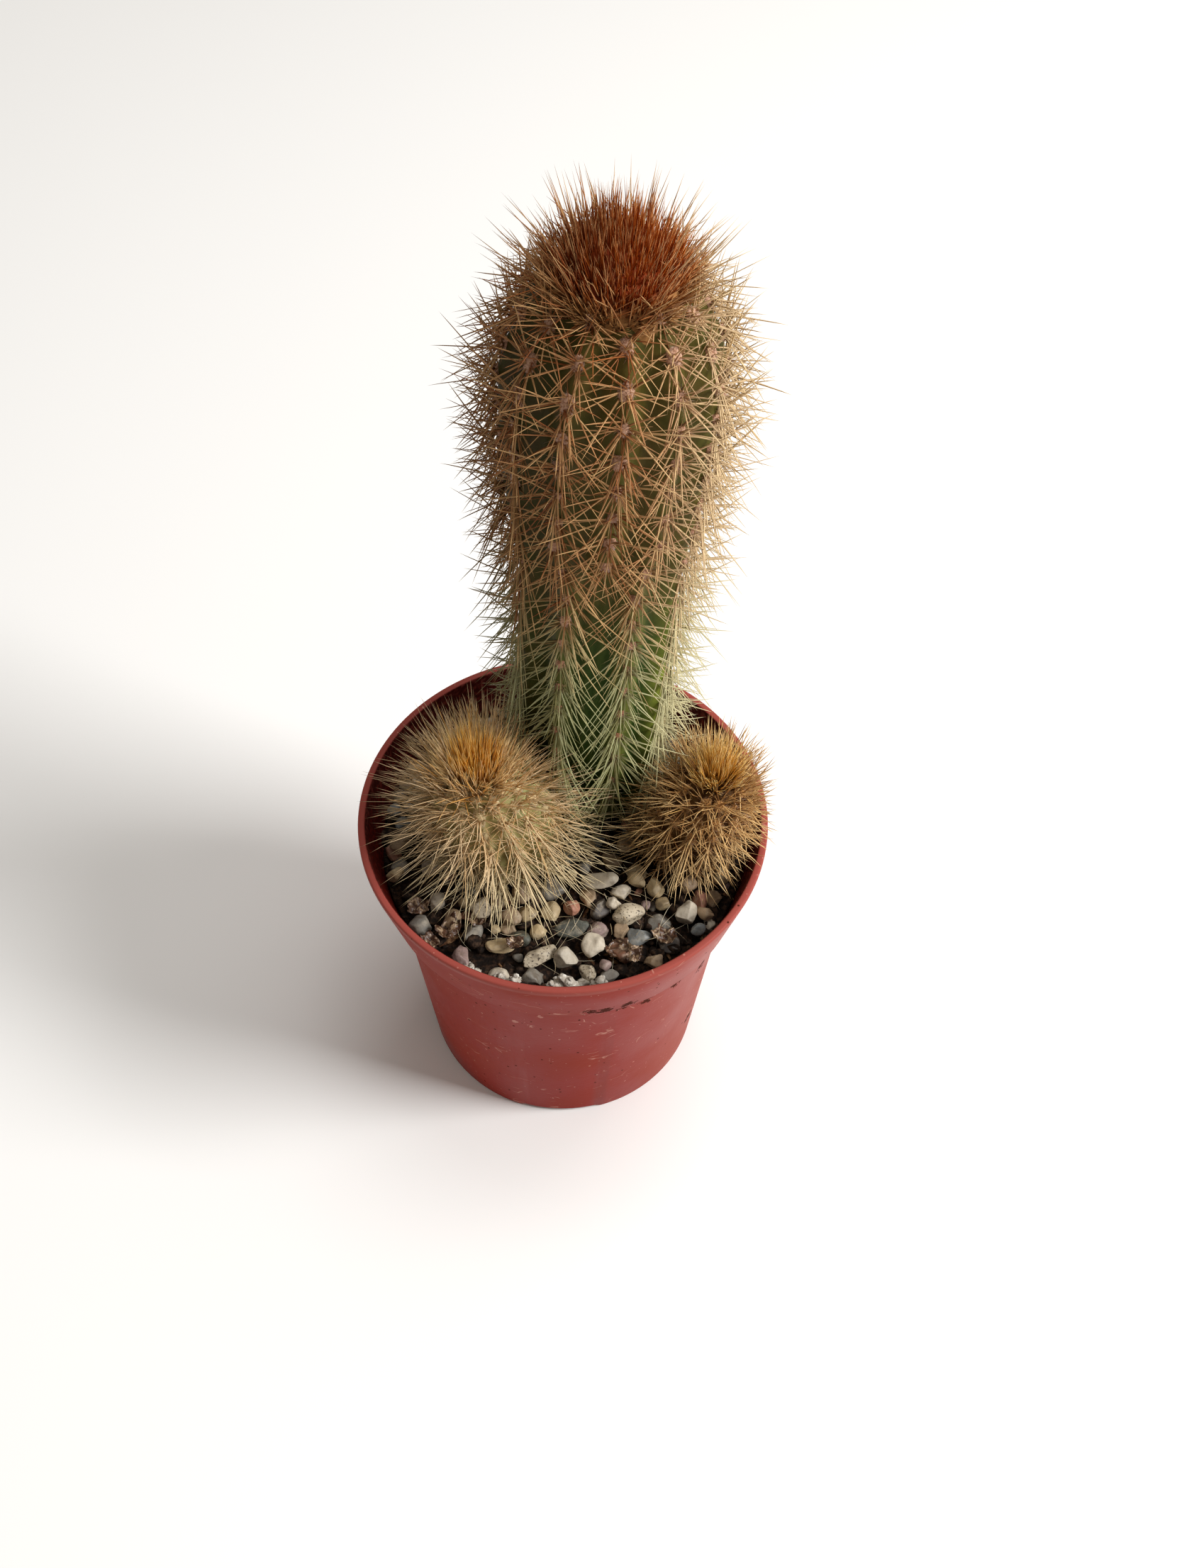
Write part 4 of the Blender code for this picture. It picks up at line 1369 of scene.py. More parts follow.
@dataclass
class Gravel:
    """The gravel: chosen stones at the front, and others that settle among them all round.

    Bare spots are x, y and a radius in millimetres. Rock shares go by the order of the rocks.
    """

    pot: Pot
    peat: Peat
    stems: Sequence[Stem] = STEMS
    chosen: Sequence[Pebble] = CHOSEN_PEBBLES
    fill_count: int = 250
    fill_radii: Span = (0.9 * MM, 2.3 * MM)
    smallness: float = 1.5
    rock_shares: Sequence[float] = (5, 6, 6, 3, 2, 3, 5, 3, 3, 2, 1, 0)
    flatness: float = 0.74
    closeness: float = 0.97
    tries: int = 14
    highest: float = 2.6 * MM
    facet_depths: Span = (0.56, 0.84)
    worn_bumps: float = 0.12
    rough_bumps: float = 0.42
    shades: Span = (0.72, 1.1)
    bare: Sequence[Point] = (
        (-23.0, -11.0, 3.4), (-18.5, -18.5, 2.8), (-11.5, -23.8, 2.6), (-8.0, -23.6, 2.0),
        (0.5, -19.2, 2.0), (11.2, -24.0, 3.0), (17.5, -16.5, 1.6), (26.0, -12.5, 2.6),
        (-26.0, -13.5, 3.0), (18.5, -21.5, 2.2),
    )
    seed: int = 8

    def dropped(self) -> list[Pebble]:
        """Drops the filling stones one by one, each into the lowest of a few places.

        In a space squashed by the stones' flatness they are spheres, so each one's resting
        height over the others is exact.

        Returns:
            The stones that found room.
        """
        draw = np.random.default_rng(self.seed)
        spots = np.array([(p.x * MM, p.y * MM) for p in self.chosen])
        radii = np.array([(p.length + p.width) / 2 * MM for p in self.chosen])
        lifts = np.array([p.lift * MM for p in self.chosen]) / self.flatness
        found = []
        for _ in range(self.fill_count):
            radius = lerp(*self.fill_radii, draw.uniform() ** self.smallness)
            best = None
            for _ in range(self.tries):
                spot = self.random_spot(draw, radius)
                if spot is None:
                    continue
                gaps = np.linalg.norm(spots - spot, axis=1)
                touch = (radii + radius) * self.closeness
                over = np.sqrt(np.maximum(0.0, touch**2 - gaps**2)) + lifts + radii - radius
                lift = float(np.max(np.where(gaps < touch, over, 0.0)))
                if best is None or lift < best[0]:
                    best = (lift, spot)
            if best is None or best[0] > self.highest:
                continue
            lift, spot = best
            spots = np.vstack([spots, spot])
            radii = np.append(radii, radius)
            lifts = np.append(lifts, lift)
            found.append(self.filling(draw, spot, radius, lift))
        return found

    def random_spot(self, draw: np.random.Generator, radius: float) -> Array | None:
        """Draws a place on the soil.

        Args:
            draw: The draw.
            radius: The stone's radius.

        Returns:
            The place, or None if it is in a stem or where the soil is bare.
        """
        reach = float(self.pot.inner_radius(self.peat.level + 1.5 * MM)) - 1.15 * radius
        angle, away = draw.uniform(0, TURN), reach * math.sqrt(draw.uniform())
        spot = np.array(around(angle, away))
        for stem in self.stems:
            if np.linalg.norm(spot - stem.centre(0.0)[:2]) < stem.radius(3 * MM) + radius:
                return None
        for x, y, bare in self.bare:
            if math.hypot(spot[0] - x * MM, spot[1] - y * MM) < bare * MM:
                return None
        return spot

    def filling(self, draw: np.random.Generator, spot: Array, radius: float, lift: float) -> Pebble:
        """Shapes one filling stone.

        Args:
            draw: The draw.
            spot: Its place.
            radius: Its radius.
            lift: How high it lies, in the squashed space.

        Returns:
            The stone.
        """
        kinds, shares = list(Rock), np.array(self.rock_shares, float)
        rock = kinds[draw.choice(len(kinds), p=shares / shares.sum())]
        long = radius / MM * draw.uniform(1.02, 1.25)
        wide = radius / MM * draw.uniform(0.85, 1.02)
        thick = radius / MM * self.flatness * draw.uniform(0.85, 1.1)
        turn, tip = draw.uniform(0, 360), draw.normal(0, 10)
        x, y, lift = (value / MM for value in (*spot, lift * self.flatness))
        return Pebble(x, y, long, wide, thick, turn, rock, lift, tip)

    def stones(self, pebbles: Sequence[Pebble], subdivisions: int, seed: int) -> bmesh.types.BMesh:
        """Makes worn stones: balls cut by a few planes, rounded, lumped and laid down.

        Args:
            pebbles: The stones.
            subdivisions: How fine they are.
            seed: Number that the draw starts from.

        Returns:
            The stones, with the attributes tint and freckled.
        """
        draw = np.random.default_rng(seed)
        bm = bmesh.new()
        tint = bm.verts.layers.float_color.new("tint")
        freckled = bm.verts.layers.float.new("freckled")
        for pebble in pebbles:
            cuts = [
                (Vector(unit(draw.normal(size=3))), draw.uniform(*self.facet_depths))
                for _ in range(pebble.facets)
            ]
            size = Matrix.Diagonal((pebble.length * MM, pebble.width * MM, pebble.thick * MM, 1))
            turn = laid(math.radians(pebble.turn), math.radians(pebble.tip))
            bumps = self.rough_bumps if pebble.rock is Rock.PUMICE else self.worn_bumps
            seat = Vector(draw.uniform(0, 90, 3))
            verts = add_lump(bm, turn @ size, subdivisions, bumps, seat, cuts)
            ground = self.peat.level - 0.3 * MM + pebble.lift * MM
            shift = (pebble.x * MM, pebble.y * MM, ground - min(vert.co.z for vert in verts))
            bmesh.ops.translate(bm, verts=verts, vec=shift)
            colour, freckles = pebble.rock.value
            shade = draw.uniform(*self.shades)
            for vert in verts:
                vert[tint] = Vector([c * shade for c in linear(colour)[:3]] + [1.0])
                vert[freckled] = freckles
        return bm

    def dress(self) -> None:
        """Adds the stones to the scene."""
        stone = RiverStone("river_stone").make()
        front = self.stones(self.chosen, 4, self.seed + 1)
        others = self.stones(self.dropped(), 3, self.seed + 2)
        add_piece("front_stones", front, stone, "pebbles", "gravel")
        add_piece("other_stones", others, stone, "pebbles")


@dataclass(frozen=True)
class Room:
    """The space that spines may stand in: in the pot's mouth, off the stones and other stems."""

    pot: Pot
    own: Stem
    lowest: float = 52.0 * MM
    reach: float = 33.3 * MM
    highest: float = 166.5 * MM
    margin: float = 0.2 * MM

    def free(self, points: Array) -> Array:
        """Tells which points are free.

        Args:
            points: Points, in the last axis.

        Returns:
            Whether each is free.
        """
        x, y, z = np.moveaxis(points, -1, 0)
        away = np.hypot(x, y)
        clear = z > self.pot.height + self.margin
        clear |= away < self.pot.inner_radius(z) - self.margin
        clear &= (z > self.lowest) & (z < self.highest)
        clear &= (np.abs(x) < self.reach) & (np.abs(y) < self.reach)
        for stem in STEMS:
            if stem.name == self.own.name:
                continue
            height = np.clip(z - stem.soil_level, 0.0, stem.height)
            gap = np.linalg.norm(points - stem.centre(height), axis=-1) - stem.radius(height)
            clear &= (gap > self.margin) | (z > stem.soil_level + stem.height)
        return clear


@dataclass
class Bristles:
    """Many bristles, a row for each. Their shape is bent from one master mesh."""

    root: Array
    direction: Array
    length: Array
    bend: Array
    width: Array
    tone: Array
    youth: Array

    def along(self, shares: Array) -> Array:
        """Gives points along each bristle's middle.

        Args:
            shares: How far along, from 0 to 1.

        Returns:
            Points by bristle, share and axis.
        """
        straight = self.direction[:, None] * (self.length[:, None] * shares)[..., None]
        return self.root[:, None] + straight + self.bend[:, None] * (shares**2)[None, :, None]

    def kept(self, mask: Array) -> "Bristles":
        """Returns the bristles that the mask keeps."""
        return Bristles(*(getattr(self, name)[mask] for name in self.__dataclass_fields__))

    @staticmethod
    def joined(sets: Sequence["Bristles"]) -> "Bristles":
        """Returns several sets as one."""
        names = Bristles.__dataclass_fields__
        return Bristles(*(np.concatenate([getattr(one, name) for one in sets]) for name in names))

    @staticmethod
    def master(cuts: Sequence[float]) -> bpy.types.Mesh:
        """Makes the master: a slim three-sided cone of radius and length 1 that tapers late.

        Args:
            cuts: Where it is divided along its length.

        Returns:
            Its mesh.
        """
        bm = bmesh.new()
        size = {"radius1": 1.0, "radius2": 0.0, "depth": 1.0, "cap_ends": True}
        bmesh.ops.create_cone(bm, segments=3, matrix=Matrix.Translation((0, 0, 0.5)), **size)
        bmesh.ops.remove_doubles(bm, verts=bm.verts, dist=1e-4)
        for cut in cuts:
            geometry = bm.verts[:] + bm.edges[:] + bm.faces[:]
            bmesh.ops.bisect_plane(bm, geom=geometry, plane_co=(0, 0, cut), plane_no=(0, 0, 1))
        for vert in bm.verts:
            left = 1 - vert.co.z
            if left > 1e-6:
                fuller = left**0.55 / left
                bmesh.ops.scale(bm, verts=[vert], vec=(fuller, fuller, 1))
        return mesh_from(bm)

    def build(self, cuts: Sequence[float]) -> bpy.types.Mesh:
        """Bends a copy of the master to each bristle.

        Args:
            cuts: Where each bristle is divided along its length.

        Returns:
            The mesh, with the attributes along, tone and youth.
        """
        master = self.master(cuts)
        shape = points_of(master)
        bm = bmesh.new()
        for _ in range(len(self.root)):
            bm.from_mesh(master)
        mesh = bpy.data.meshes.new("bristles")
        bm.to_mesh(mesh)
        bm.free()
        bpy.data.meshes.remove(master)
        steep = np.abs(self.direction[:, 2:]) > 0.9
        helper = np.where(steep, [[1.0, 0.0, 0.0]], [[0.0, 0.0, 1.0]])
        across = unit(np.cross(self.direction, helper))
        beside = np.cross(self.direction, across)
        wall = across[:, None] * shape[None, :, :1] + beside[:, None] * shape[None, :, 1:2]
        points = self.along(shape[:, 2]) + wall * self.width[:, None, None] / 2
        mesh.vertices.foreach_set("co", points.astype(np.float32).ravel())
        along = np.tile(shape[:, 2], len(self.root))
        tone, youth = (np.repeat(value, len(shape)) for value in (self.tone, self.youth))
        for key, values in zip(BRISTLE_DATA, (along, tone, youth)):
            add_values(mesh, key, values)
        mesh.update()
        return mesh


@dataclass(frozen=True)
class Husk:
    """One crumpled dry scale, in millimetres: its place, its half size and its turn in degrees."""

    x: float
    y: float
    half: float
    turn: float


@dataclass
class FallenBits:
    """What has fallen on the gravel: crumpled dry scales and loose fibres."""

    pot: Pot
    peat: Peat
    husks: Sequence[Husk] = (
        Husk(8.8, -21.4, 2.2, 20),
        Husk(11.4, -22.6, 1.7, 80),
        Husk(16.1, -18.9, 2.2, -30),
        Husk(-17.4, -18.2, 2.4, 50),
        Husk(-22.4, -13.9, 2.1, 10),
        Husk(-20.0, -20.6, 1.8, -50),
        Husk(-6.9, -20.9, 1.6, 0),
        Husk(-13.0, -16.5, 1.5, 35),
    )
    thinness: float = 0.06
    crumple: float = 0.55
    fibres: int = 110
    fibre_lengths: Span = (2.5 * MM, 8.5 * MM)
    fibre_width: float = 0.1 * MM
    stone_height: float = 2.2 * MM
    seed: int = 21

    def flakes(self) -> bmesh.types.BMesh:
        """Copies a thin flat sheet for each husk and crumples it.

        Returns:
            All the husks.
        """
        sheet = bmesh.new()
        bmesh.ops.create_grid(sheet, x_segments=12, y_segments=12, size=1.0)
        bmesh.ops.solidify(sheet, geom=sheet.faces[:], thickness=self.thinness)
        flat = mesh_from(sheet)
        bm = bmesh.new()
        for husk in self.husks:
            made = add_copy(bm, flat)
            seat = Vector((husk.x, husk.y, 0))
            for vert in made:
                ground = Vector((vert.co.x, vert.co.y, 0))
                ragged, broad, fine = (noise.noise(ground * n + seat) for n in (1.7, 1.6, 3.5))
                vert.co.xy *= 1 - 0.15 * ground.length_squared + 0.25 * ragged
                fold = broad + 0.5 * fine
                vert.co.z += self.crumple * fold + 0.35 * ground.x**2
            size = Matrix.Diagonal((husk.half * MM, husk.half * 0.75 * MM, husk.half * MM, 1))
            x, y = husk.x * MM, husk.y * MM
            level = self.peat.surface(x, y) + self.stone_height
            spot = Matrix.Translation((x, y, level)) @ laid(math.radians(husk.turn))
            bmesh.ops.transform(bm, matrix=spot @ size, verts=made)
        bpy.data.meshes.remove(flat)
        return bm

    def strands(self) -> Bristles:
        """Draws the fibres, which lie across the stones.

        Returns:
            The fibres.
        """
        draw = np.random.default_rng(self.seed)
        many = self.fibres
        reach = float(self.pot.inner_radius(self.peat.level + 2 * MM)) - 6 * MM
        angle, away = FRONT + draw.normal(0, 1.1, many), reach * np.sqrt(draw.uniform(0.3, 1, many))
        level = self.peat.level + draw.uniform(0.6, 1.4, many) * self.stone_height
        root = np.stack([away * np.cos(angle), away * np.sin(angle), level], axis=-1)
        heading = draw.uniform(0, TURN, many)
        ways = [np.cos(heading), np.sin(heading), draw.normal(0, 0.2, many)]
        direction = unit(np.stack(ways, axis=-1))
        length = draw.uniform(*self.fibre_lengths, many)
        bend = draw.normal(0, 0.25, (many, 3)) * length[:, None] * np.array([1, 1, 0.3])
        width = self.fibre_width * draw.uniform(0.7, 1.3, many)
        tone, youth = draw.uniform(0, 1, many), np.zeros(many)
        made = Bristles(root, direction, length, bend, width, tone, youth)
        x, y, z = np.moveaxis(made.along(np.linspace(0, 1, 5)), -1, 0)
        inside = np.hypot(x, y) < self.pot.inner_radius(z) - 0.3 * MM
        return made.kept(inside.all(axis=1))

    def dress(self) -> None:
        """Adds the husks and the fibres to the scene."""
        husk = PaperyHusk("papery_husk").make()
        straw = {"old_pale": "#D8CCB0", "old_dark": "#A08C6A", "root": "#A08868"}
        fibre = SpineHorn("fallen_fibres", shade=0.0, **straw).make()
        add_piece("husks", self.flakes(), husk, "peat")
        add_piece("fibres", self.strands().build((0.2, 0.4, 0.6, 0.8)), fibre, "peat")


@dataclass(frozen=True)
class SpineKind:
    """One kind of spine in a cushion. Pairs of spans hold at the stem's foot and near its tip.

    Tilts are degrees from straight out, and clocks are degrees from straight up, to either side.
    Lengths, width and scatter are in millimetres. Swing is how far the tip bends to its own side,
    and sag how far it sinks, for its length. Above is the share of the stem's height that the kind
    starts from, and crown cut how much shorter it is on the tip. Turning and tip are bands of the
    stem's height: where each starts and how broad it is.
    """

    count: int
    tilts: tuple[Span, Span]
    clocks: tuple[Span, Span]
    lengths: tuple[Span, Span]
    width: float
    swing: Span = (0.0, 0.0)
    sag: float = 0.04
    scatter: Span = (0.45, 0.3)
    tones: Span = (0.0, 1.0)
    sunk: float = 0.4
    wander: float = 0.045
    above: float = 0.0
    crown_cut: float = 0.4
    turning: Span = (0.42, 0.4)
    tip: Span = (0.84, 0.14)
    tries: int = 12
    cut_each_try: float = 0.05

    def drawn(
        self, sites: Sites, room: Callable[[Array], Array], draw: np.random.Generator
    ) -> Bristles:
        """Draws this kind's spines on every cushion, again where one has no room.

        Args:
            sites: The cushions.
            room: Tells which points are free.
            draw: The draw.

        Returns:
            The spines that found room.
        """
        chosen = np.nonzero(sites.growth > self.above)[0]
        owner = np.repeat(chosen, self.count)
        rank = np.tile(np.arange(self.count), len(chosen))
        found = []
        for attempt in range(self.tries):
            made = self.attempt(sites, owner, rank, draw, 1 - self.cut_each_try * attempt)
            free = room(made.along(np.linspace(0.12, 1.0, 7))).all(axis=1)
            found.append(made.kept(free))
            owner, rank = owner[~free], draw.permutation(rank[~free])
            if not len(owner):
                break
        return Bristles.joined(found)

    def attempt(
        self, sites: Sites, owner: Array, rank: Array, draw: np.random.Generator, shorter: float
    ) -> Bristles:
        """Draws one spine for each cushion number given, in pairs to either side.

        Args:
            sites: The cushions.
            owner: Each spine's cushion.
            rank: Each spine's number in its cushion.
            draw: The draw.
            shorter: What their lengths are multiplied by.

        Returns:
            The spines.
        """
        many, age = len(owner), sites.growth[owner]
        growth, on_tip = (smooth((age - low) / band) for low, band in (self.turning, self.tip))
        spread = draw.uniform(size=(3, many))
        spread[1] = (rank // 2 + spread[1]) / ((self.count + 1) // 2)
        tilt, clock, length = (
            lerp(lerp(foot[0], foot[1], share), lerp(crown[0], crown[1], share), growth)
            for (foot, crown), share in zip((self.tilts, self.clocks, self.lengths), spread)
        )
        hand = np.where(rank % 2, -1.0, 1.0)[:, None]
        clock, tilt = np.radians(clock)[:, None], np.radians(tilt)[:, None]
        upward, sideways = sites.upward[owner], sites.sideways[owner]
        lean = upward * np.cos(clock) + sideways * hand * np.sin(clock)
        direction = unit(sites.outward[owner] * np.cos(tilt) + lean * np.sin(tilt))
        length = length * MM * shorter * (1 - self.crown_cut * on_tip)
        high, wide = draw.normal(0, 1, (2, many, 1)) * MM
        root = sites.place[owner] + upward * high * self.scatter[0]
        root = root + sideways * wide * self.scatter[1] - direction * self.sunk * MM
        swing = draw.uniform(*self.swing, (many, 1)) * (1 - 0.7 * growth[:, None])
        curve = draw.normal(0, self.wander, (many, 3)) + sideways * hand * swing
        bend = (curve - np.array([0.0, 0.0, self.sag])) * length[:, None]
        width = self.width * MM * draw.uniform(0.75, 1.2, many)
        youth = np.clip(age + draw.normal(0, 0.04, many), 0, 1)
        tone = draw.uniform(*self.tones, many)
        return Bristles(root, direction, length, bend, width, tone, youth)


ALL_ROUND = ((0, 180), (0, 180))
# The offsets' long spines stand close together in a cushion, and hardly sag.
CLOSE = {"scatter": (0.3, 0.3), "sag": 0.01}
# The tall stem's spines are combed down at its foot, and radiate near its crown.
TALL_SPINES = (
    SpineKind(
        10, ((58, 80), (50, 80)), ((108, 160), (15, 165)), ((8.5, 12.0), (8.0, 12.0)), 0.34,
        swing=(0.04, 0.18), scatter=(0.6, 0.25), tones=(0.0, 0.7), wander=0.02,
    ),
    SpineKind(4, ((60, 78), (52, 76)), ((150, 180), (140, 180)), ((7.0, 10.5), (7.0, 10.0)), 0.28),
    SpineKind(5, ((28, 60), (15, 55)), ((95, 180), (0, 180)), ((6.0, 8.2), (6.0, 8.4)), 0.28),
    SpineKind(
        10, ((45, 82), (35, 82)), ((60, 180), (0, 180)), ((3.0, 6.0), (3.0, 6.0)), 0.18,
        tones=(0.5, 1.0),
    ),
    SpineKind(
        7, ((40, 80), (38, 80)), ALL_ROUND, ((8.0, 11.0), (8.0, 11.0)), 0.26,
        above=0.8, crown_cut=0.15,
    ),
)
LEFT_SPINES = (
    SpineKind(
        8, ((22, 72), (14, 58)), ALL_ROUND, ((6.5, 11.5), (6.0, 10.5)), 0.24,
        tones=(0, 0.9), wander=0.012, crown_cut=0.2, **CLOSE,
    ),
    SpineKind(
        5, ((0, 34), (0, 28)), ALL_ROUND, ((10.0, 14.4), (8.0, 11.0)), 0.27,
        tones=(0, 0.4), wander=0.012, crown_cut=0.1, **CLOSE,
    ),
    SpineKind(9, ((40, 84), (35, 84)), ALL_ROUND, ((3.0, 6.0), (3.0, 6.0)), 0.17, tones=(0.1, 0.9)),
)
RIGHT_SPINES = (
    SpineKind(
        9, ((30, 80), (20, 66)), ALL_ROUND, ((4.5, 8.4), (5.0, 8.4)), 0.25,
        wander=0.015, crown_cut=0.2, **CLOSE,
    ),
    SpineKind(
        4, ((0, 36), (0, 30)), ALL_ROUND, ((6.5, 9.6), (6.0, 8.6)), 0.27,
        tones=(0, 0.5), wander=0.015, crown_cut=0.1, **CLOSE,
    ),
    SpineKind(
        10, ((40, 84), (35, 84)), ALL_ROUND, ((2.5, 5.0), (2.5, 5.0)), 0.17, tones=(0.3, 1.0)
    ),
)


@dataclass
class Tuft:
    """A crown's tuft: wool on the stem's tip, with hairs that lean out and gather in points.

    Widest is how far the outer hairs lean, in degrees, and rare how few of them are long.
    """

    stem: Stem
    count: int
    lengths: Span
    width: float
    reach: float
    widest: float
    mound_level: float = 0.0
    mound_rise: float = 0.0
    rare: float = 1.7
    clumps: int = 9
    gather: Span = (0.2, 0.7)
    shortened: float = 0.65
    youths: Span = (0.0, 1.0)
    inner: float = 0.0
    seed: int = 5

    def mound(self) -> bmesh.types.BMesh:
        """Makes the mound of wool under the hairs.

        Returns:
            The mound, with the attributes along and youth.
        """
        bm = bmesh.new()
        along = bm.verts.layers.float.new("along")
        youth = bm.verts.layers.float.new("youth")
        size = Matrix.Diagonal((self.reach * 1.05, self.reach * 1.05, self.mound_rise, 1))
        middle = Vector(self.stem.centre(self.mound_level))
        seat = Vector((self.seed, 2.0, 7.0))
        for vert in add_lump(bm, Matrix.Translation(middle) @ size, 5, 0.1, seat):
            vert[along] = 0.3
            vert[youth] = 1 - ((vert.co - middle).xy.length / self.reach) ** 2
        return bm

    def hairs(self, room: Callable[[Array], Array]) -> Bristles:
        """Draws the hairs over the mound, upright in the middle and leaning out at the border.

        Args:
            room: Tells which points are free.

        Returns:
            The hairs that have room.
        """
        draw, many = np.random.default_rng(self.seed), self.count
        share = lerp(self.inner, 1.0, (np.arange(many) + 0.5) / many)
        away = self.reach * np.sqrt(share)
        angle = np.arange(many) * math.pi * (3 - math.sqrt(5)) + draw.normal(0, 0.2, many)
        flat = np.stack([np.cos(angle), np.sin(angle), np.zeros(many)], axis=-1)
        up = np.array([[0.0, 0.0, 1.0]])
        lean = np.radians(self.widest) * share**0.9
        root = self.stem.centre(self.stem.dome_level(away)) + flat * away[:, None]
        direction = flat * np.sin(lean)[:, None] + up * np.cos(lean)[:, None]
        direction = unit(direction + draw.normal(0, 0.13, (many, 3)))
        length = lerp(*self.lengths, draw.uniform(0, 1, many) ** self.rare)
        length = length * lerp(1.0, self.shortened, share)
        tips = root + direction * length[:, None]
        leaders = draw.choice(many, many // self.clumps, replace=False)
        near = np.linalg.norm(root[:, None] - root[leaders][None], axis=2).argmin(axis=1)
        bend = (tips[leaders][near] - tips) * draw.uniform(*self.gather, (many, 1))
        bend[:, 2] = 0
        tone, width = draw.uniform(0, 1, many), self.width * draw.uniform(0.8, 1.2, many)
        youth = lerp(*self.youths, 1 - share)
        made = Bristles(root, direction, length, bend, width, tone, youth)
        return made.kept(room(made.along(np.linspace(0.2, 1.0, 5))).all(axis=1))


@dataclass
class Wisps(Tuft):
    """Loose hairs round a tuft, which lean out further and gather less."""

    rare: float = 1.0
    clumps: int = 2
    gather: Span = (0.0, 0.15)
    youths: Span = (0.3, 0.9)
    inner: float = 0.1


@dataclass
class StemAssembly:
    """A stem with its skin, its felt cushions, its spines and its crown."""

    stem: Stem
    pot: Pot
    spines: Sequence[SpineKind]
    tuft: Tuft
    wisps: Wisps
    skin: Finish
    horn: Finish
    felt: Finish
    wool: Finish
    slots: tuple[str, str]
    columns_per_rib: int = 12
    row_spacing: float = 0.85 * MM
    foot_gap: float = 0.3 * MM
    tubercle: float = 0.35 * MM
    tubercle_reach: float = 1.6 * MM
    pad_radii: Span = (0.65 * MM, 1.2 * MM)
    pad_shape: Point = (0.85, 1.2, 0.65)
    fuzz_count: int = 16
    fuzz_lengths: tuple[Span, Span] = ((0.9, 1.7), (1.6, 2.8))
    seed: int = 40

    def row_heights(self) -> list[float]:
        """Lists the heights of the body's rings, from its buried end to its very tip."""
        stem = self.stem
        foot = -stem.socket_depth + self.foot_gap
        rows = round(stem.shoulder / self.row_spacing)
        straight = [stem.shoulder * n / rows for n in range(rows + 1)]
        turns = round(1.4 * stem.shoulder_radius / self.row_spacing)
        rises = [math.sin(math.pi / 2 * n / turns) for n in range(1, turns + 1)]
        dome = [stem.shoulder + (stem.height - stem.shoulder) * rise for rise in rises]
        return [foot, foot, -0.5 * stem.socket_depth, *straight, *dome]

    def swelling(self, rib: int, height: float, areoles: Sequence[tuple[int, float]]) -> float:
        """Returns how much a crest swells under its nearest cushion, from 0 to 1."""
        near = min((abs(height - at) for number, at in areoles if number == rib), default=1.0)
        return math.exp(-((near / self.tubercle_reach) ** 2))

    def skin_point(
        self, height: float, angles: Sequence[float], swells: Sequence[float], column: int
    ) -> tuple[Point, float]:
        """Gives a point on the ribbed skin.

        Args:
            height: The ring's height.
            angles: The ribs' directions at this ring.
            swells: How much each crest swells there.
            column: The point's number round the ring.

        Returns:
            The point, and how near to a crest it is, from 0 to 1.
        """
        stem = self.stem
        rib, part = divmod(column, self.columns_per_rib)
        share = part / self.columns_per_rib
        angle = lerp(angles[rib], angles[rib + 1 if share else rib], share)
        strength = lerp(*(stem.rib_strength(near, height) for near in (rib, rib + 1)), share)
        raised = float(strength * (0.5 + 0.5 * math.cos(TURN * share)) ** 0.8)
        swell = swells[(rib + round(share)) % stem.ribs] * raised**3 * self.tubercle
        radius = float(stem.radius(height)) - float(stem.depth(height)) * (1 - raised) + swell
        x, y, z = stem.centre(height)
        beside, before = around(angle, radius)
        return (x + beside, y + before, z), raised

    def body(self) -> bmesh.types.BMesh:
        """Rolls a grid up into the ribbed body and closes both ends.

        Returns:
            The body, with the attribute crest.
        """
        stem, heights, areoles = self.stem, self.row_heights(), self.stem.areoles()
        layouts = [stem.rib_angles(height) for height in heights]
        ribs = range(stem.ribs)
        swells = [[self.swelling(rib, height, areoles) for rib in ribs] for height in heights]
        columns, rows = stem.ribs * self.columns_per_rib, len(heights) - 1
        bm = bmesh.new()
        crest = bm.verts.layers.float.new("crest")
        bmesh.ops.create_grid(bm, x_segments=columns, y_segments=rows, size=0.5)
        for vert in bm.verts:
            column = round((vert.co.x + 0.5) * columns)
            row = round((vert.co.y + 0.5) * rows)
            vert.co, vert[crest] = self.skin_point(heights[row], layouts[row], swells[row], column)
            if row in (0, rows):
                vert.co = stem.centre(heights[row])
        bmesh.ops.remove_doubles(bm, verts=bm.verts, dist=WELD)
        return bm

    def pads(self, sites: Sites) -> bmesh.types.BMesh:
        """Makes the felt cushions: small lumped ovals on the crests.

        Args:
            sites: The cushions' places.

        Returns:
            All the cushions, with the attribute youth.
        """
        draw = np.random.default_rng(self.seed + 1)
        bm, ball = bmesh.new(), round_cube()
        youth = bm.verts.layers.float.new("youth")
        for place, outward, upward, sideways, growth in zip(*vars(sites).values()):
            radius = lerp(*self.pad_radii, growth) * draw.uniform(0.85, 1.15)
            turn = Matrix([sideways, upward, outward]).transposed().to_4x4()
            size = Matrix.Diagonal([radius * part for part in self.pad_shape] + [1])
            seat = Vector(draw.uniform(0, 90, 3))
            for vert in add_lump(bm, Matrix.Translation(place) @ turn @ size, ball, 0.35, seat):
                vert[youth] = growth
        return bm

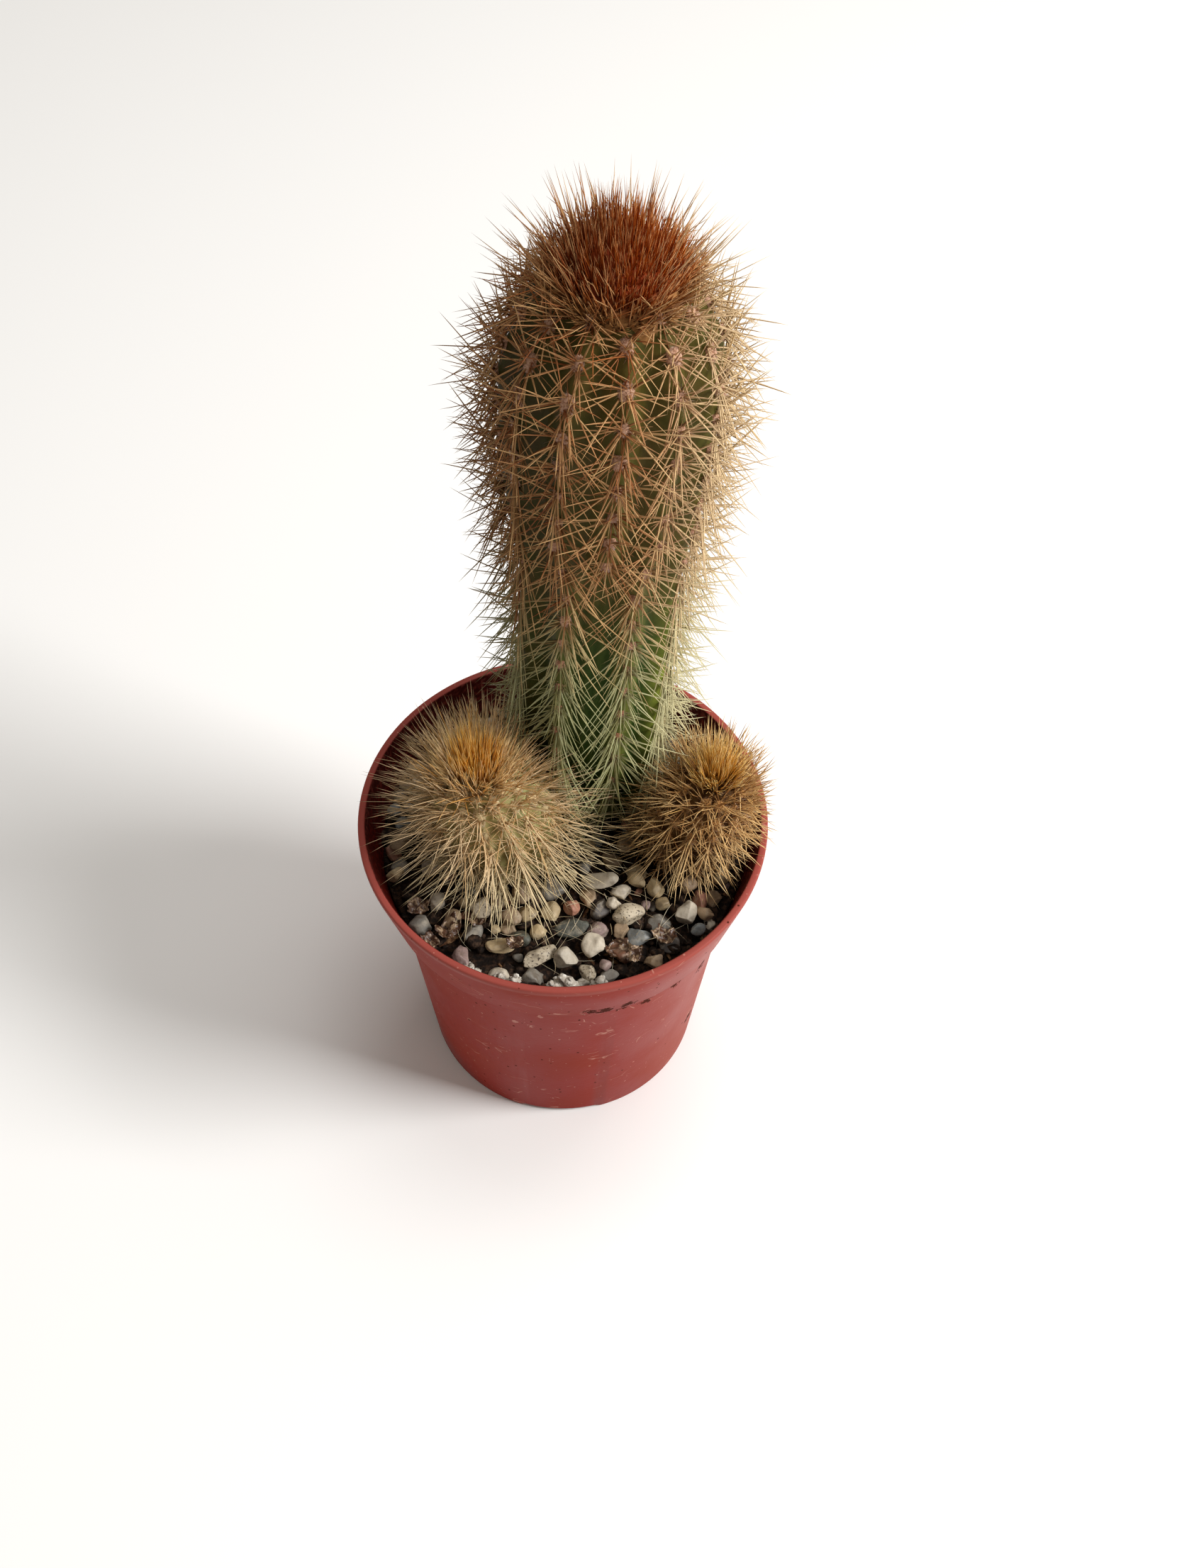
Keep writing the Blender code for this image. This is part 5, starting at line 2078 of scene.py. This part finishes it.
    def fuzz(self, sites: Sites) -> Bristles:
        """Draws the short wool that frays out of each cushion.

        Args:
            sites: The cushions' places.

        Returns:
            The wool's hairs.
        """
        tilts = ((20, 85), (20, 85))
        size = {"lengths": self.fuzz_lengths, "width": 0.12, "sag": 0.1, "sunk": 0.2}
        kind = SpineKind(self.fuzz_count, tilts, ALL_ROUND, **size)
        room, draw = Room(self.pot, self.stem).free, np.random.default_rng(self.seed + 2)
        return kind.drawn(sites, room, draw)

    def dress(self) -> None:
        """Adds the body, the cushions, the spines and the crown to the scene."""
        name, sites = self.stem.name, self.stem.sites()
        room, draw = Room(self.pot, self.stem).free, np.random.default_rng(self.seed)
        felt, horn, wool = self.felt.make(), self.horn.make(), self.wool.make()
        slot, wool_slot = self.slots
        LOG.info("%s stem: %d cushions", name, len(sites.place))
        add_piece(f"{name}_body", self.body(), self.skin.make(), slot, f"{name}_stem")
        add_piece(f"{name}_cushions", self.pads(sites), felt, slot)
        add_piece(f"{name}_fuzz", self.fuzz(sites).build((0.5,)), felt, slot)
        for number, kind in enumerate(self.spines, 1):
            spines = kind.drawn(sites, room, draw).build((0.3, 0.6, 0.85))
            add_piece(f"{name}_spines_{number}", spines, horn, slot)
        add_piece(f"{name}_wool", self.tuft.mound(), wool, wool_slot, f"{name}_crown")
        add_piece(f"{name}_hairs", self.tuft.hairs(room).build((0.35, 0.7)), wool, wool_slot)
        add_piece(f"{name}_wisps", self.wisps.hairs(room).build((0.35, 0.7)), horn, wool_slot)


@dataclass
class Studio:
    """A pale floor, soft light from the right, and the camera at the photograph's place."""

    camera_place: Point = (3.93 * MM, -155.94 * MM, 278.48 * MM)
    camera_pitch: float = math.radians(53.74)
    camera_roll: float = math.radians(1.06)
    lens: float = 39.06
    floor_size: float = 6.0
    aim: Vector = field(default_factory=lambda: Vector((0, 0, 0.09)))

    def add_camera(self) -> None:
        """Places the camera that took the photograph."""
        forward = Vector((0, math.cos(self.camera_pitch), -math.sin(self.camera_pitch)))
        level = Vector((1, 0, 0))
        above = level.cross(forward)
        side = level * math.cos(self.camera_roll) + above * math.sin(self.camera_roll)
        up = above * math.cos(self.camera_roll) - level * math.sin(self.camera_roll)
        camera = link_object("camera", bpy.data.cameras.new("camera"))
        camera.data.lens = self.lens
        camera.data.clip_start = 0.01
        turn = Matrix((side, up, -forward)).transposed().to_4x4()
        camera.matrix_world = Matrix.Translation(self.camera_place) @ turn
        bpy.context.scene.camera = camera

    def add_light(self, name: str, place: Vector, size: float, power: float) -> None:
        """Adds a soft square light that faces the plant.

        Args:
            name: Its name.
            place: Where it hangs.
            size: Its breadth.
            power: Its power in watts.
        """
        data = bpy.data.lights.new(name, "AREA")
        data.shape = "SQUARE"
        data.size = size
        data.energy = power
        light = link_object(name, data)
        light.location = place
        light.rotation_euler = (self.aim - place).to_track_quat("-Z", "Y").to_euler()

    def add_floor(self) -> None:
        """Lays the floor."""
        bm = bmesh.new()
        bmesh.ops.create_grid(bm, x_segments=1, y_segments=1, size=self.floor_size / 2)
        floor = link_object("floor", mesh_from(bm))
        floor.data.materials.append(PaleBoard("white_board").make())

    def build(self) -> None:
        """Sets up the studio."""
        scene = bpy.context.scene
        scene.view_settings.view_transform = "Standard"
        world = bpy.data.worlds.new("studio")
        world.use_nodes = True
        glow = {"Color": "#FFF8EE", "Strength": 0.3}
        fill(world.node_tree, world.node_tree.nodes["Background"], glow)
        scene.world = world
        self.add_floor()
        self.add_light("key", Vector((0.75, -0.15, 0.65)), 0.35, 11.0)
        self.add_light("top", Vector((0.15, 0.2, 0.95)), 0.5, 3.0)
        self.add_camera()


def main() -> None:
    """Builds the pot, the soil, the gravel and the three stems, and reports each."""
    logging.basicConfig(level=logging.INFO, format="%(message)s")
    Studio().build()
    pot = Pot()
    peat = Peat(pot)
    pot.dress()
    peat.dress()
    damp = LooseGround("peat_crumbs", "#1A120D", "#4A372A")
    bark = LooseGround("bark_chips", "#4A2E1C", "#8A6A4A")
    pumice = LooseGround("pumice_grit", "#A89E90", "#DAD4CA", roughness=0.95)
    piled = {"spots": PUMICE_PILES, "spread": 0.7 * MM, "heap": 3.4 * MM, "seed": 5}
    crumbs = Litter("soil_crumbs", damp, 560, (0.35 * MM, 1.3 * MM), (1.0, 1.6))
    chips = Litter("bark_bits", bark, 90, (0.2 * MM, 0.5 * MM), (3.0, 7.0), seed=4)
    grit = Litter("pumice_bits", pumice, 420, (0.22 * MM, 0.75 * MM), (1.0, 1.5), **piled)
    for litter, slot in ((crumbs, "peat"), (chips, "peat"), (grit, "pebbles")):
        litter.dress(pot, peat, slot)
    Gravel(pot, peat).dress()
    FallenBits(pot, peat).dress()
    StemAssembly(
        stem=TALL,
        pot=pot,
        spines=TALL_SPINES,
        tuft=Tuft(
            stem=TALL, count=2600, lengths=(3.0 * MM, 9.6 * MM), width=0.2 * MM, reach=8.5 * MM,
            widest=46.0, mound_level=99.4 * MM, mound_rise=8.0 * MM, rare=3.0,
        ),
        wisps=Wisps(
            stem=TALL, count=230, lengths=(5.5 * MM, 10.5 * MM), width=0.22 * MM, reach=9.6 * MM,
            widest=68.0, gather=(0.0, 0.12), shortened=1.0, youths=(0.7, 0.99), inner=0.25,
            seed=9,
        ),
        skin=CactusSkin("cactus_skin"),
        # The tall stem's spines on its right side are painted paler: a painted highlight.
        horn=SpineHorn("straw_spines", sunlight=0.5),
        felt=AreoleFelt("areole_felt"),
        wool=CrownWool("rust_crown_wool"),
        slots=("tall_skin", "rust_wool"),
    ).dress()
    StemAssembly(
        stem=LEFT,
        pot=pot,
        spines=LEFT_SPINES,
        tuft=Tuft(
            stem=LEFT, count=900, lengths=(5.2 * MM, 10.0 * MM), width=0.17 * MM, reach=4.5 * MM,
            widest=42.0, mound_level=18.9 * MM, mound_rise=3.8 * MM, seed=6,
        ),
        wisps=Wisps(
            stem=LEFT, count=330, lengths=(5.5 * MM, 10.0 * MM), width=0.2 * MM, reach=8.4 * MM,
            widest=70.0, shortened=0.9, seed=11,
        ),
        skin=CactusSkin(
            "left_skin", crest="#B4A670", furrow="#8A7C4A", upper="#B4A670", sunny="#B2BA80",
            sunny_side=(-13 * MM, -4 * MM), shaded_side=PAST_PLANT,
        ),
        horn=SpineHorn(
            "pale_spines", old_pale="#DFCEA6", old_dark="#B49C6E", young_pale="#F4D8AE",
            young_dark="#D0A468", newest="#E4AC5C", root="#A88454",
            shaded_side=(-10 * MM, -28 * MM), new_from=0.9,
        ),
        felt=AreoleFelt("straw_felt", "#D6BC86", "#E8D6A6", "#AE8C56"),
        wool=CrownWool(
            "amber_crown_wool", deep="#D08C2C", middle="#E8A43A", bright="#F6C45E", tip="#F2D292",
            border="#F0D4A0", shaded_side=PAST_PLANT, border_from=(0.75, 0.4),
        ),
        slots=("offset_skin", "amber_wool"),
        pad_radii=(0.7 * MM, 1.2 * MM),
        fuzz_lengths=((1.2, 2.6), (1.6, 3.2)),
        seed=60,
    ).dress()
    StemAssembly(
        stem=RIGHT,
        pot=pot,
        spines=RIGHT_SPINES,
        tuft=Tuft(
            stem=RIGHT, count=480, lengths=(5.0 * MM, 9.2 * MM), width=0.17 * MM, reach=2.9 * MM,
            widest=36.0, mound_level=16.6 * MM, mound_rise=3.3 * MM, seed=7,
        ),
        wisps=Wisps(
            stem=RIGHT, count=230, lengths=(5.0 * MM, 8.8 * MM), width=0.22 * MM, reach=6.2 * MM,
            widest=72.0, shortened=0.85, seed=12,
        ),
        skin=CactusSkin(
            "right_skin", crest="#624420", furrow="#482C12", upper="#624420", sunny="#624420",
            shaded_side=PAST_PLANT,
        ),
        horn=SpineHorn(
            "honey_spines", old_pale="#E4C692", old_dark="#94683A", young_pale="#E6C084",
            young_dark="#A07040", newest="#D8AA60", root="#5E381A",
            shaded_side=(22 * MM, 10 * MM), shade=0.3, new_from=0.9,
        ),
        felt=AreoleFelt("honey_felt", "#A06C38", "#C8924E", "#6E4420"),
        wool=CrownWool(
            "honey_crown_wool", deep="#B87C30", middle="#DCA44A", bright="#F4C668", tip="#EED498",
            border="#DCB46C", shaded="#B87C30", shaded_side=(20 * MM, 10 * MM),
            border_from=(0.5, 0.1),
        ),
        slots=("offset_skin", "amber_wool"),
        fuzz_count=26,
        fuzz_lengths=((1.2, 2.4), (1.6, 3.0)),
        seed=80,
    ).dress()


if __name__ == "__main__":
    main()
